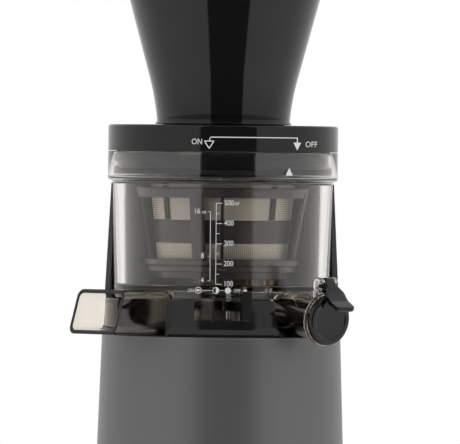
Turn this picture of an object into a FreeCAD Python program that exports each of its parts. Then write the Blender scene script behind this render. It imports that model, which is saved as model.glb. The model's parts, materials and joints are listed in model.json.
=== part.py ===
import FreeCAD, Part
import math
import os

import Sketcher

# Cold press juicer. Millimetres, +Z up, front towards -Y, origin on the table under the drum's axis.
os.makedirs("parts", exist_ok=True)
doc = FreeCAD.newDocument("cold_press_juicer")
sheet = doc.addObject("Spreadsheet::Sheet", "Sizes")
Vector = FreeCAD.Vector

sizes = {
    # base housing
    "foot_height": 4, "foot_radius": 9, "foot_reach": 56,
    "base_radius": 78, "seam_radius": 71.5, "seam_height": 194, "back_depth": 18, "shell_wall": 3,
    "column_radius": 66.9, "column_front": 9, "liner_wall": 2.2,
    "plate_thickness": 3, "screw_radius": 3.5,
    "vent_width": 3, "vent_height": 26, "vent_pitch": 8, "vent_sill": 96,
    "switch_width": 24, "switch_height": 14, "switch_level": 62,
    "gland_radius": 6, "gland_level": 24,
    # collar deck that seats the drum
    "collar_radius": 70.5, "collar_height": 22, "collar_wall": 3, "deck_thickness": 3,
    "window_left": 16, "window_right": 17.4, "window_sill": 9.7,
    # drive
    "shaft_radius": 8, "hex_radius": 7.6, "hex_rise": 50, "drive_teeth": 45, "pinion_teeth": 9,
    "drive_module": 1.25, "drive_face": 10, "motor_radius": 44, "motor_floor": 22, "motor_height": 76,
    "rotor_radius": 24, "rotor_shaft": 5, "case_wall": 3, "gear_level": 122,
    # drum
    "drum_radius": 66, "drum_foot_radius": 64.7, "drum_wall": 2.6, "floor_rise": 30, "floor_thickness": 2.5,
    "ledge_rise": 92, "rim_radius": 69, "rim_height": 18, "hub_radius": 21.5, "fit_gap": 0.3,
    # pulp chute
    "chute_azimuth": -45, "chute_width": 40, "chute_rise": 1.5, "chute_height": 26.4, "chute_wall": 2.2,
    "chute_start": 25, "chute_top_reach": 100, "chute_foot_reach": 108.5,
    # juice spout and its cap
    "spout_azimuth": 41, "spout_radius": 12.8, "spout_wall": 2.2, "spout_slope": 6.5, "spout_start": 49,
    "spout_length": 46, "spout_rise": 16.7, "flange_radius": 15.7, "cap_radius": 15, "cap_thickness": 4,
    "hinge_rise": 20.5, "hinge_pin_radius": 1.5, "clip_radius": 4.6, "clip_width": 3, "cap_width": 7,
    # strainer, brush and auger
    "gear_module": 1.5, "auger_teeth": 20, "idler_teeth": 12, "ring_teeth": 44, "gear_face": 3.6,
    "idler_azimuth": 60, "strainer_top": 43.2, "strainer_foot": 38, "strainer_wall": 1.8, "window_count": 8,
    "brush_top": 52.2, "brush_foot": 44.4, "brush_wall": 2.2,
    "core_foot": 27, "core_top": 13, "auger_turns": 1.6, "flight_count": 3, "hex_socket": 8.0,
    # lever under the drum
    "lever_pivot": 39, "lever_offset": 4, "lever_reach": 35, "lever_angle": 17, "lever_pin_radius": 1.5,
    # lid
    "lid_height": 16, "plug_wall": 2.4, "lug_height": 4, "lug_level": 11.5, "throat_radius": 36.4,
    # hopper
    "hopper_height": 142, "neck_radius": 39.9, "waist_radius": 45.6, "waist_rise": 32, "mouth_radius": 75.1,
    "hopper_wall": 2.2, "bead_radius": 2,
}


class Measure:
    """A size that knows its number and its formula in the sheet."""

    def __init__(self, number, text):
        self.number = float(number)
        self.text = text

    def __add__(self, other):
        other = measure(other)
        return Measure(self.number + other.number, f"({self.text} + {other.text})")

    def __sub__(self, other):
        other = measure(other)
        return Measure(self.number - other.number, f"({self.text} - {other.text})")

    def __mul__(self, other):
        other = measure(other)
        return Measure(self.number * other.number, f"({self.text} * {other.text})")

    def __truediv__(self, other):
        other = measure(other)
        return Measure(self.number / other.number, f"({self.text} / {other.text})")

    def __radd__(self, other):
        return measure(other) + self

    def __rsub__(self, other):
        return measure(other) - self

    def __rmul__(self, other):
        return measure(other) * self

    def __neg__(self):
        return 0 - self

    def __float__(self):
        return self.number


def measure(value):
    return value if isinstance(value, Measure) else Measure(value, f"({float(value):.6g})")


def sine(angle):
    return Measure(math.sin(math.radians(float(angle))), f"sin({angle.text})")


def cosine(angle):
    return Measure(math.cos(math.radians(float(angle))), f"cos({angle.text})")


class Size:
    """Reads a named cell of the sheet."""

    def __getattr__(self, name):
        return Measure(float(sheet.get(name)), "Sizes." + name)


for row, (name, number) in enumerate(sizes.items(), 1):
    sheet.set(f"A{row}", name)
    sheet.set(f"B{row}", str(number))
    sheet.setAlias(f"B{row}", name)
doc.recompute()
z = Size()

# levels and radii that several pieces share
gap = z.fit_gap
seam = z.seam_height
collar_top = seam + z.collar_height
floor_top = seam + z.floor_rise
floor_under = floor_top - z.floor_thickness
ledge = seam + z.ledge_rise
rim_low = ledge + 1.5
rim_top = rim_low + z.rim_height - 1.5
column_top = ledge - 1
liner_radius = z.drum_radius + 0.5
lid_top = rim_top + z.lid_height
hopper_base = lid_top + gap
gear_low = floor_top + 0.6
gear_top = gear_low + z.gear_face
ring_pitch = z.gear_module * z.ring_teeth / 2
auger_pitch = z.gear_module * z.auger_teeth / 2
idler_pitch = z.gear_module * z.idler_teeth / 2
brush_low = gear_top + 0.4
brush_plate = brush_low + 7
cup_radius = ring_pitch - 1.2
strainer_low = gear_top + 0.9
strainer_step = brush_plate + 0.9
plug_radius = z.drum_radius - 2.1
drive_pitch = z.drive_module * z.drive_teeth / 2
pinion_pitch = z.drive_module * z.pinion_teeth / 2
stage_distance = drive_pitch + pinion_pitch
motor_top = z.motor_floor + z.motor_height
case_low = motor_top + 2
first_low = z.gear_level - z.drive_face - 2
second_low = z.gear_level
second_top = second_low + z.drive_face
case_top = second_top + 3


def bind(item, **links):
    """Ties properties of an object to the sheet; dots in names are written as two underscores."""
    for key, value in links.items():
        item.setExpression(key.replace("__", "."), measure(value).text)
    return item


def place(item, across=0, back=0, up=0, azimuth=None, out=0, side=0, tilt=None):
    """Puts an object at a point, or out along an azimuth counted from the front and to its side."""
    across, back, up, out, side = (measure(value) for value in (across, back, up, out, side))
    text = f"placement(vector({across.text}; {back.text}; {up.text}); rotation(0; 0; 0))"
    if azimuth is not None:
        turn = measure(azimuth) - 90
        lean = measure(0 if tilt is None else tilt)
        text += f" * placement(vector(0; 0; 0); rotationz({turn.text}))"
        text += f" * placement(vector({out.text}; {side.text}; 0); rotationy({lean.text}))"
    item.setExpression("Placement", text)
    return item


def cylinder(name, radius, height, **where):
    item = doc.addObject("Part::Cylinder", name)
    bind(item, Radius=radius, Height=height)
    return place(item, **where)


def box(name, length, width, height, **where):
    item = doc.addObject("Part::Box", name)
    bind(item, Length=length, Width=width, Height=height)
    return place(item, **where)


def fused(name, *shapes):
    item = doc.addObject("Part::MultiFuse", name)
    item.Shapes = list(shapes)
    item.Refine = True
    return item


def cut(name, base, *tools):
    item = doc.addObject("Part::Cut", name)
    item.Base = base
    item.Tool = tools[0] if len(tools) == 1 else fused(name + "_tools", *tools)
    item.Refine = True
    return item


def common(name, first, second):
    item = doc.addObject("Part::MultiCommon", name)
    item.Shapes = [first, second]
    return item


def ring(name, outer, inner, low, high, **where):
    """A plain ring between two levels."""
    height = high - low
    solid = cylinder(name + "_outer", outer, height, up=low, **where)
    bore = cylinder(name + "_bore", inner, height + 2, up=low - 1, **where)
    return cut(name, solid, bore)


def origin_plane(body, role):
    return next(item for item in body.Origin.OriginFeatures if item.Role == role)


def sketch_on(body, name, role="XZ_Plane", level=None):
    sketch = body.newObject("Sketcher::SketchObject", name)
    sketch.AttachmentSupport = (origin_plane(body, role), [""])
    sketch.MapMode = "FlatFace"
    if level is not None:
        sketch.setExpression("AttachmentOffset.Base.z", measure(level).text)
    return sketch


def outline(sketch, points, arcs=()):
    """Closes a profile through points; a segment in arcs is a round one, tangent to the next segment."""
    points = [(measure(across), measure(up)) for across, up in points]
    spots = [Vector(float(across), float(up), 0) for across, up in points]
    count = len(spots)
    for index, start in enumerate(spots):
        end = spots[(index + 1) % count]
        if index in arcs:
            along = (spots[(index + 2) % count] - end).normalize()
            normal = Vector(-along.y, along.x, 0)
            chord = start - end
            reach = chord.dot(chord) / (2 * chord.dot(normal))
            centre = end + normal * reach
            first, last = (start, end) if (start - centre).cross(end - centre).z > 0 else (end, start)
            angles = [math.atan2(spot.y - centre.y, spot.x - centre.x) for spot in (first, last)]
            circle = Part.Circle(centre, Vector(0, 0, 1), abs(reach))
            if angles[1] < angles[0]:
                angles[1] += 2 * math.pi
            sketch.addGeometry(Part.ArcOfCircle(circle, angles[0], angles[1]), False)
        else:
            sketch.addGeometry(Part.LineSegment(start, end), False)
    ends = []
    for index in range(count):
        flipped = False
        if index in arcs:
            edge = sketch.Geometry[index]
            flipped = edge.StartPoint.distanceToPoint(spots[index]) > 1e-6
        ends.append((2, 1) if flipped else (1, 2))
    for index in range(count):
        after = (index + 1) % count
        kind = "Tangent" if index in arcs else "Coincident"
        sketch.addConstraint(Sketcher.Constraint(kind, index, ends[index][1], after, ends[after][0]))
    for index, (across, up) in enumerate(points):
        for kind, value, axis in (("DistanceX", across, -2), ("DistanceY", up, -1)):
            corner = ends[index][0]
            if value.text == "(0)":
                sketch.addConstraint(Sketcher.Constraint("PointOnObject", index, corner, axis))
                continue
            spot = sketch.addConstraint(Sketcher.Constraint(kind, index, corner, float(value)))
            sketch.setExpression(f"Constraints[{spot}]", value.text)


def stadium(sketch, radius, depth):
    """Two half circles joined by straight sides: the plan of the housing."""
    wide, back = float(radius), float(depth)
    up = Vector(0, 0, 1)
    sketch.addGeometry([
        Part.ArcOfCircle(Part.Circle(Vector(), up, wide), math.pi, 2 * math.pi),
        Part.LineSegment(Vector(wide, 0, 0), Vector(wide, back, 0)),
        Part.ArcOfCircle(Part.Circle(Vector(0, back, 0), up, wide), 0, math.pi),
        Part.LineSegment(Vector(-wide, back, 0), Vector(-wide, 0, 0)),
    ], False)
    sketch.addConstraint([
        Sketcher.Constraint("Coincident", 0, 3, -1, 1),
        Sketcher.Constraint("PointOnObject", 2, 3, -2),
        Sketcher.Constraint("Tangent", 0, 2, 1, 1),
        Sketcher.Constraint("Tangent", 1, 2, 2, 1),
        Sketcher.Constraint("Tangent", 2, 2, 3, 1),
        Sketcher.Constraint("Tangent", 3, 2, 0, 1),
    ])
    spot = sketch.addConstraint(Sketcher.Constraint("Radius", 0, wide))
    sketch.setExpression(f"Constraints[{spot}]", measure(radius).text)
    spot = sketch.addConstraint(Sketcher.Constraint("DistanceY", 2, 3, back))
    sketch.setExpression(f"Constraints[{spot}]", measure(depth).text)


def loft(body, name, kind, levels):
    """A tapered stadium through (radius, level) pairs."""
    sections = []
    for index, (radius, level) in enumerate(levels):
        sketch = sketch_on(body, f"{name}_section_{index}", "XY_Plane", level)
        stadium(sketch, radius, z.back_depth)
        sections.append(sketch)
    feature = body.newObject(f"PartDesign::{kind}Loft", name)
    feature.Profile = sections[0]
    feature.Sections = sections[1:]
    feature.Ruled = True
    return feature


def turned(name, points, arcs=(), body=None, kind="Revolution"):
    """A body turned about the upright axis from a profile of (radius, level) points."""
    body = body or doc.addObject("PartDesign::Body", name)
    sketch = sketch_on(body, name + "_profile")
    outline(sketch, points, arcs)
    feature = body.newObject("PartDesign::" + kind, name + "_turned")
    feature.Profile = sketch
    feature.ReferenceAxis = (sketch, ["V_Axis"])
    feature.Angle = 360
    return body


def pocket(body, name, role, level, points, depth, reverse=False):
    sketch = sketch_on(body, name + "_outline", role, level)
    outline(sketch, points)
    feature = body.newObject("PartDesign::Pocket", name)
    feature.Profile = sketch
    feature.Reversed = reverse
    bind(feature, Length=depth)
    return feature


def corner_points(left, right, low, high):
    return [(left, low), (right, low), (right, high), (left, high)]


def rounded(body, name, radius, wanted, kind="Fillet"):
    """Rounds the edges that a test picks by their middle point."""
    doc.recompute()
    base = body.Tip
    edges = []
    for index, edge in enumerate(base.Shape.Edges, 1):
        middle = edge.valueAt((edge.FirstParameter + edge.LastParameter) / 2)
        if edge.Length > 1 and wanted(plan_radius(middle), middle.z, edge):
            edges.append(f"Edge{index}")
    feature = body.newObject("PartDesign::" + kind, name)
    feature.Base = (base, edges)
    bind(feature, **{"Radius" if kind == "Fillet" else "Size": radius})
    return feature


def plan_radius(spot):
    """Distance from the line that the housing's plan is drawn round."""
    back = min(max(spot.y, 0), float(z.back_depth))
    return math.hypot(spot.x, spot.y - back)


def near(value, target):
    return abs(value - float(target)) < 0.05


nodes = {}


def keep(name, item):
    """Marks an object as a finished piece."""
    item.Label = name
    nodes[name] = item
    return item


def made(name, shape):
    """A piece whose shape is worked out from the sheet by a formula."""
    item = doc.addObject("Part::Feature", name)
    item.Shape = shape
    return item


def tooth_polygon(teeth, module, phase, internal=False, backlash=0.12):
    """Flanks follow the involute of a 25 degree rack; the tip and root are stubs."""
    pitch = module * teeth / 2
    pressure = math.radians(25)
    base = pitch * math.cos(pressure)
    tip = pitch + (1.0 if internal else 0.8) * module
    root = pitch - (0.8 if internal else 1.0) * module
    play = backlash / pitch

    def half_angle(radius):
        ratio = min(1.0, base / max(radius, base))
        roll = math.acos(ratio)
        involute = math.tan(roll) - roll
        shift = math.tan(pressure) - pressure
        return math.pi / (2 * teeth) + shift - involute + (play if internal else -play)

    radii = [root, max(root, base) * 0.5 + pitch * 0.5, tip]
    points = []
    for tooth in range(teeth):
        centre = 2 * math.pi * tooth / teeth + math.radians(phase)
        for radius in radii:
            points.append((radius, centre - half_angle(radius)))
        for radius in reversed(radii):
            points.append((radius, centre + half_angle(radius)))
    spots = [Vector(radius * math.cos(angle), radius * math.sin(angle), 0) for radius, angle in points]
    return Part.makePolygon(spots + spots[:1])


def gear_blank(teeth, module, face, phase=0.0):
    """A toothed disc that stands on its own origin."""
    return Part.Face(tooth_polygon(int(float(teeth)), float(module), phase)).extrude(Vector(0, 0, float(face)))


def housing():
    body = doc.addObject("PartDesign::Body", "housing_shell")
    loft(body, "lower_form", "Additive", [(z.base_radius, z.foot_height), (z.seam_radius, seam)])
    loft(body, "upper_form", "Additive", [(z.seam_radius, seam), (z.column_radius, column_top)])
    inner = [(z.base_radius - z.shell_wall, z.foot_height), (z.seam_radius - z.shell_wall, seam)]
    loft(body, "lower_hollow", "Subtractive", inner)
    inner = [(z.seam_radius - z.shell_wall, seam), (z.column_radius - z.shell_wall, column_top)]
    loft(body, "upper_hollow", "Subtractive", inner)
    reach = z.base_radius + z.back_depth + 5
    front = [(-reach, -reach), (reach, -reach), (reach, z.column_front), (-reach, z.column_front)]
    pocket(body, "drum_side", "XY_Plane", seam, front, z.ledge_rise + 5, reverse=True)
    circle_pocket(body, "drum_room", seam, liner_radius, None, z.ledge_rise + 5)
    width = z.switch_width / 2
    pocket(body, "switch_hole", "XZ_Plane", None,
           corner_points(-width, width, z.switch_level - z.switch_height / 2,
                         z.switch_level + z.switch_height / 2), reach + 5)
    for index in range(-3, 4):
        middle = z.vent_pitch * index
        pocket(body, f"vent_{index + 3}", "XZ_Plane", None,
               corner_points(middle - z.vent_width / 2, middle + z.vent_width / 2,
                             z.vent_sill, z.vent_sill + z.vent_height), reach + 5)
    hole = sketch_on(body, "gland_hole_outline")
    hole.addGeometry(Part.Circle(Vector(0, float(z.gland_level), 0), Vector(0, 0, 1), float(z.gland_radius)))
    spot = hole.addConstraint(Sketcher.Constraint("Radius", 0, float(z.gland_radius)))
    hole.setExpression(f"Constraints[{spot}]", z.gland_radius.text)
    spot = hole.addConstraint(Sketcher.Constraint("DistanceY", 0, 3, float(z.gland_level)))
    hole.setExpression(f"Constraints[{spot}]", z.gland_level.text)
    hole.addConstraint(Sketcher.Constraint("PointOnObject", 0, 3, -2))
    feature = body.newObject("PartDesign::Pocket", "gland_hole")
    feature.Profile = hole
    bind(feature, Length=reach + 5)
    rounded(body, "foot_round", z.shell_wall * 0.6,
            lambda radius, level, edge: near(level, z.foot_height) and radius > float(z.base_radius) - 1)
    keep("housing_shell", body)

    liner = doc.addObject("PartDesign::Body", "column_liner")
    play = z.shell_wall + 0.1
    loft(liner, "liner_form", "Additive",
         [(z.seam_radius - play, seam + 0.1), (z.column_radius - play, column_top)])
    front = [(-reach, -reach), (reach, -reach), (reach, z.column_front), (-reach, z.column_front)]
    pocket(liner, "liner_front", "XY_Plane", seam, front, z.ledge_rise + 5, reverse=True)
    circle_pocket(liner, "drum_bay", seam, liner_radius, None, z.ledge_rise + 5)
    circle_pocket(liner, "liner_hollow", seam, liner_radius + z.liner_wall, reach + 20,
                  z.ledge_rise - 1 - z.liner_wall)
    keep("column_liner", liner)


def circle_pocket(body, name, level, radius, outer, depth):
    """Cuts a round bay upwards, or leaves a round island when an outer radius is given."""
    sketch = sketch_on(body, name + "_outline", "XY_Plane", level)
    for index, size in enumerate([radius] + ([outer] if outer is not None else [])):
        sketch.addGeometry(Part.Circle(Vector(), Vector(0, 0, 1), float(size)))
        sketch.addConstraint(Sketcher.Constraint("Coincident", index, 3, -1, 1))
        spot = sketch.addConstraint(Sketcher.Constraint("Radius", index, float(size)))
        sketch.setExpression(f"Constraints[{spot}]", size.text)
    feature = body.newObject("PartDesign::Pocket", name)
    feature.Profile = sketch
    feature.Reversed = True
    bind(feature, Length=depth)


def collar():
    """The black deck on the housing: a raised front wall with a lever window and two notches."""
    play = 0.15
    deck = doc.addObject("PartDesign::Body", "deck_plate")
    low = seam - z.deck_thickness
    loft(deck, "deck_form", "Additive",
         [(z.seam_radius - z.shell_wall - play, low), (z.seam_radius - z.shell_wall - play, seam)])
    wall = turned("collar_wall", [
        (z.seam_radius - z.shell_wall - play - z.collar_wall, low - 5),
        (z.seam_radius - z.shell_wall - play, low - 5), (z.seam_radius - z.shell_wall - play, seam),
        (z.collar_radius + 0.3, seam), (z.collar_radius, collar_top - 1), (z.collar_radius - 1, collar_top),
        (z.collar_radius - z.collar_wall, collar_top), (z.collar_radius - z.collar_wall - 0.5, low),
    ])
    boss = ring("deck_boss", z.hub_radius - 4, z.shaft_radius + 2, low, seam + 9)
    solid = fused("deck_solid", deck, wall, boss)
    shaft_hole = cylinder("deck_shaft_hole", z.shaft_radius + 2, 40, up=low - 10)
    reach = z.collar_radius + 10
    rear = box("deck_rear_cut", reach * 2, reach, z.collar_height + 5,
               across=-reach, back=z.column_front - gap, up=seam + 0.02)
    spigot_rear = box("deck_spigot_cut", reach * 2, reach, 8, across=-reach, back=z.column_front - gap,
                      up=low - 8)
    window = box("lever_window", z.window_left + z.window_right, 30, z.collar_height,
                 across=-z.window_left, back=-z.collar_radius - 15, up=seam + z.window_sill)
    clear = 0.9
    chute = box("chute_notch", 60, z.chute_width + 2 * clear, z.collar_height + 5, azimuth=z.chute_azimuth,
                out=z.collar_radius - 30, side=-(z.chute_width / 2 + clear), up=seam + z.chute_rise - clear)
    spout = cylinder("spout_notch", z.spout_radius + 4.5, 60, azimuth=z.spout_azimuth,
                     out=z.collar_radius - 28, up=seam + z.spout_rise + 0.7, tilt=z.spout_slope + 90)
    upper = box("spout_notch_top", 60, 2 * (z.spout_radius + 4.5), z.collar_height,
                azimuth=z.spout_azimuth, out=z.collar_radius - 28, side=-(z.spout_radius + 4.5),
                up=seam + z.spout_rise)
    lower_guard = box("collar_zone", 2 * reach, 2 * reach, z.collar_height + 6, across=-reach, back=-reach,
                      up=seam + 0.4)
    notches = common("notches", fused("notch_tools", chute, spout, upper), lower_guard)
    keep("collar_deck", cut("collar_deck", solid, shaft_hole, rear, spigot_rear, window, notches))


def grouped(name, pieces):
    """Alike pieces kept as one group of separate solids."""
    group = doc.addObject("Part::Compound", name)
    group.Links = list(pieces)
    return group


def spread(name, maker, spots):
    return grouped(name, [maker(index, across, back) for index, (across, back) in enumerate(spots)])


def base_pieces():
    low = z.foot_height
    plate = doc.addObject("PartDesign::Body", "plate_body")
    wide = z.base_radius - z.shell_wall - 0.4
    loft(plate, "plate_form", "Additive", [(wide, low + 0.2), (wide - 0.1, low + 0.2 + z.plate_thickness)])
    for index in range(-4, 5):
        middle = z.vent_pitch * index
        pocket(plate, f"intake_{index + 4}", "XY_Plane", low - 1,
               corner_points(middle - z.vent_width / 2, middle + z.vent_width / 2,
                             -z.vent_height, z.vent_height), z.plate_thickness + 4, reverse=True)
    side = z.foot_reach * 0.7071
    spots = [(side, -side), (-side, -side), (side, side + z.back_depth), (-side, side + z.back_depth)]
    stems = fused("foot_holes", *[
        cylinder(f"foot_hole_{index}", z.foot_radius * 0.5 + 0.05, 20, across=across, back=back, up=-5)
        for index, (across, back) in enumerate(spots)])
    screw_spots = [(z.base_radius - 17, z.back_depth / 2), (-(z.base_radius - 17), z.back_depth / 2),
                   (measure(0), -(z.base_radius - 17)), (measure(0), z.base_radius - 17 + z.back_depth)]
    screw_holes = fused("plate_screw_holes", *[
        cylinder(f"screw_hole_{index}", z.screw_radius * 0.5 + 0.2, 20, across=across, back=back, up=-5)
        for index, (across, back) in enumerate(screw_spots)])
    keep("base_plate", cut("base_plate", plate, stems, screw_holes))

    def foot(index, across, back):
        pad = cylinder(f"foot_pad_{index}", z.foot_radius, low + 0.1, across=across, back=back)
        stem = cylinder(f"foot_stem_{index}", z.foot_radius * 0.5, z.plate_thickness + 2, across=across,
                        back=back, up=low)
        return fused(f"foot_{index}", pad, stem)

    keep("rubber_feet", spread("rubber_feet", foot, spots))

    def screw(index, across, back):
        head = cylinder(f"screw_head_{index}", z.screw_radius, 2, across=across, back=back, up=low - 1.9)
        stem = cylinder(f"screw_stem_{index}", z.screw_radius * 0.5, 12, across=across, back=back, up=low)
        return fused(f"base_screw_{index}", head, stem)

    keep("base_screws", spread("base_screws", screw, screw_spots))


def motor():
    low, top = z.motor_floor, motor_top
    stem = ring("motor_stand", z.motor_radius, z.motor_radius - 4, z.foot_height + z.plate_thickness + 0.2, low)
    legs = cut("motor_legs", stem, box("stand_gap", 200, 30, 200, across=-100, back=-15))
    can = turned("motor_can", [
        (z.rotor_shaft + 4, low), (z.motor_radius, low), (z.motor_radius, top), (z.rotor_shaft + 8.1, top),
        (z.rotor_shaft + 8.1, top - 3), (z.motor_radius - 3, top - 3), (z.motor_radius - 3, low + 3),
        (z.rotor_shaft + 8.1, low + 3), (z.rotor_shaft + 8.1, low + 1), (z.rotor_shaft + 4, low + 1),
    ])
    slots = fused("can_slots", *[
        box(f"can_slot_{index}", 2 * z.motor_radius + 20, 9, z.motor_height * 0.55,
            azimuth=index * 45 + 90, out=-z.motor_radius - 10, up=low + z.motor_height * 0.22)
        for index in range(4)])
    keep("motor_frame", fused("motor_frame", cut("motor_can_open", can, slots), legs))

    inner = z.rotor_radius + 0.5
    core = ring("stator_ring", z.motor_radius - 3.1, inner, low + 22, top - 22)
    pockets = fused("stator_slots", *[
        cylinder(f"stator_slot_{index}", 3.2, z.motor_height, azimuth=index * 30, out=inner + 5, up=low)
        for index in range(12)])
    keep("stator_core", cut("stator_core", core, pockets))
    coils = [ring(f"coil_{index}", z.motor_radius - 8, inner + 2, level, level + 11.5)
             for index, level in enumerate((low + 10.2, top - 21.8))]
    keep("stator_coils", grouped("stator_coils", coils))
    bearings = [ring(f"motor_bearing_{index}", z.rotor_shaft + 8, z.rotor_shaft + 0.05, level, level + 5)
                for index, level in enumerate((low + 1.1, top - 5))]
    keep("motor_bearings", grouped("motor_bearings", bearings))

    shaft = cylinder("rotor_shaft_rod", z.rotor_shaft, first_low - low - 5, up=low + 1.1)
    packet = cylinder("rotor_packet", z.rotor_radius, top - low - 44, up=low + 22)
    pinion = made("motor_pinion", gear_blank(z.pinion_teeth, z.drive_module, z.drive_face + 4, 110))
    place(pinion, up=first_low - 4)
    keep("motor_rotor", fused("motor_rotor", shaft, packet, pinion))
    hub = ring("fan_hub", 9, z.rotor_shaft + 0.02, low + 6.5, low + 9.8)
    vanes = fused("fan_vanes", *[
        box(f"fan_vane_{index}", 12, 1.2, 3.3, azimuth=index * 45, out=8.5, up=low + 6.5)
        for index in range(8)])
    keep("cooling_fan", fused("cooling_fan", hub, vanes))


def gearbox():
    low, top = case_low, case_top
    wall = z.case_wall
    big = drive_pitch + z.drive_module + 1.2
    outer = fused("case_outer", cylinder("case_drum", big + wall, top - low, up=low),
                  cylinder("case_side", big + wall, top - low, back=stage_distance, up=low))
    hollow = fused("case_hollow", cylinder("case_bay", big, top - low - wall, up=low + wall),
                   cylinder("case_side_bay", big, top - low - wall, back=stage_distance, up=low + wall))
    hole = cylinder("case_shaft_hole", z.rotor_shaft + 2, 20, up=low - 5)
    bore = cylinder("case_pin_hole", 4, 20, back=stage_distance, up=low - 5)
    keep("gearbox_case", cut("gearbox_case", outer, hollow, hole, bore))
    lid = fused("cover_plate", cylinder("cover_disc", big + wall, 4, up=top),
                cylinder("cover_side", big + wall, 4, back=stage_distance, up=top),
                cylinder("cover_neck", z.shaft_radius + 10, seam - z.deck_thickness - 14 - top, up=top))
    bore = cylinder("cover_bore", z.shaft_radius + 6.1, 200, up=top - 1)
    pin_bore = cylinder("cover_pin_hole", 4, 20, back=stage_distance, up=top - 5)
    keep("gearbox_cover", cut("gearbox_cover", lid, bore, pin_bore))
    keep("reduction_axle", cylinder("reduction_axle", 4, top + 4 - low, back=stage_distance, up=low))

    def bolt(index, across, back):
        head = cylinder(f"bolt_head_{index}", 3, 2.5, across=across, back=back, up=top + 4)
        return head

    reach = big + wall - 4
    spots = [(-reach, measure(0)), (reach, measure(0)), (measure(0), -reach),
             (-reach, stage_distance), (reach, stage_distance), (measure(0), stage_distance + reach)]
    keep("gearbox_screws", spread("gearbox_screws", bolt, spots))

    wheel = made("reduction_wheel", gear_blank(z.drive_teeth, z.drive_module, z.drive_face, -90))
    place(wheel, back=stage_distance, up=first_low)
    small = made("reduction_pinion", gear_blank(z.pinion_teeth, z.drive_module, z.drive_face + 4, -90))
    place(small, back=stage_distance, up=first_low + z.drive_face)
    bore = cylinder("reduction_bore", 4.05, 60, back=stage_distance, up=first_low - 5)
    keep("reduction_gear", cut("reduction_gear", fused("reduction_solid", wheel, small), bore))

    wheel = made("output_wheel", gear_blank(z.drive_teeth, z.drive_module, z.drive_face, 90 + 4))
    place(wheel, up=second_low)
    bore = cylinder("output_bore", z.shaft_radius, 60, up=second_low - 5)
    keep("output_gear", cut("output_gear", wheel, bore))
    shaft = cylinder("shaft_round", z.shaft_radius, seam + 6 - second_low + 1, up=second_low - 1)
    stub = cylinder("shaft_collar", z.shaft_radius + 2.5, 2.8, up=second_top)
    prism = doc.addObject("Part::Prism", "shaft_hex")
    prism.Polygon = 6
    bind(prism, Circumradius=z.hex_radius, Height=z.hex_rise)
    place(prism, up=seam + 5)
    keep("drive_shaft", fused("drive_shaft", shaft, stub, prism))
    rings = [ring(f"output_bearing_{index}", z.shaft_radius + 6, z.shaft_radius + 0.05, level, level + 9)
             for index, level in enumerate((top + 0.5, seam - z.deck_thickness - 23.5))]
    keep("output_bearings", grouped("output_bearings", rings))
    keep("shaft_seal", ring("shaft_seal", z.shaft_radius + 1.9, z.shaft_radius + 0.05, seam - 1, seam + 6))


def rear_pieces():
    """Rocker switch, cord gland and control board, all at the back."""
    back_at = z.back_depth + z.base_radius - (z.base_radius - z.seam_radius) * (
        (z.switch_level - z.foot_height) / (seam - z.foot_height))
    half = z.switch_width / 2 - 0.2
    tall = z.switch_height / 2 - 0.2
    sleeve = box("switch_sleeve", half * 2, 16, tall * 2, across=-half, back=back_at - 15,
                 up=z.switch_level - tall)
    bezel = box("switch_bezel", half * 2 + 6, 1.6, tall * 2 + 6, across=-half - 3, back=back_at + 0.45,
                up=z.switch_level - tall - 3)
    hole = box("switch_well", half * 2 - 3, 13, tall * 2 - 3, across=-half + 1.5, back=back_at - 10,
               up=z.switch_level - tall + 1.5)
    keep("switch_frame", cut("switch_frame", fused("switch_solid", sleeve, bezel), hole))
    rocker = turned_rocker(back_at, half - 2, tall - 2.2)
    keep("power_rocker", rocker)
    level = z.gland_level
    wall_at = z.back_depth + z.base_radius - (z.base_radius - z.seam_radius) * (
        (level - z.foot_height) / (seam - z.foot_height))
    barrel = cylinder("gland_barrel", z.gland_radius - 0.1, 12, back=wall_at - 8, up=level, azimuth=180, tilt=90)
    flange = cylinder("gland_flange", z.gland_radius + 3, 2.5, back=wall_at + 0.4, up=level, azimuth=180,
                      tilt=90)
    bore = cylinder("gland_bore", 3.3, 40, back=wall_at - 15, up=level, azimuth=180, tilt=90)
    keep("cord_gland", cut("cord_gland", fused("gland_solid", barrel, flange), bore))
    board_up = z.foot_height + z.plate_thickness + 0.25
    board = box("board_plate", 60, 1.6, 46, across=-30, back=back_at - 28, up=board_up + 4)
    feet = [box(f"board_foot_{index}", 8, 8, 5, across=across, back=back_at - 31, up=board_up)
            for index, across in enumerate((-28, 20))]
    relay = box("board_relay", 18, 10, 14, across=-24, back=back_at - 27, up=board_up + 10)
    coil = box("board_coil", 16, 9, 18, across=6, back=back_at - 27, up=board_up + 22)
    keep("control_board", fused("control_board", board, relay, coil, *feet))
    sensor = box("lid_sensor", 16, 6, 8, across=-8, back=liner_radius + z.liner_wall + 0.1,
                 up=column_top - z.liner_wall - 8.1)
    keep("lid_sensor", sensor)


def turned_rocker(back_at, half, tall):
    """A shallow two-way rocker on a cross pin."""
    body = cylinder("rocker_barrel", tall, half * 2, across=-half, back=back_at - 3, up=z.switch_level,
                    azimuth=90, tilt=90)
    return body


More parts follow.
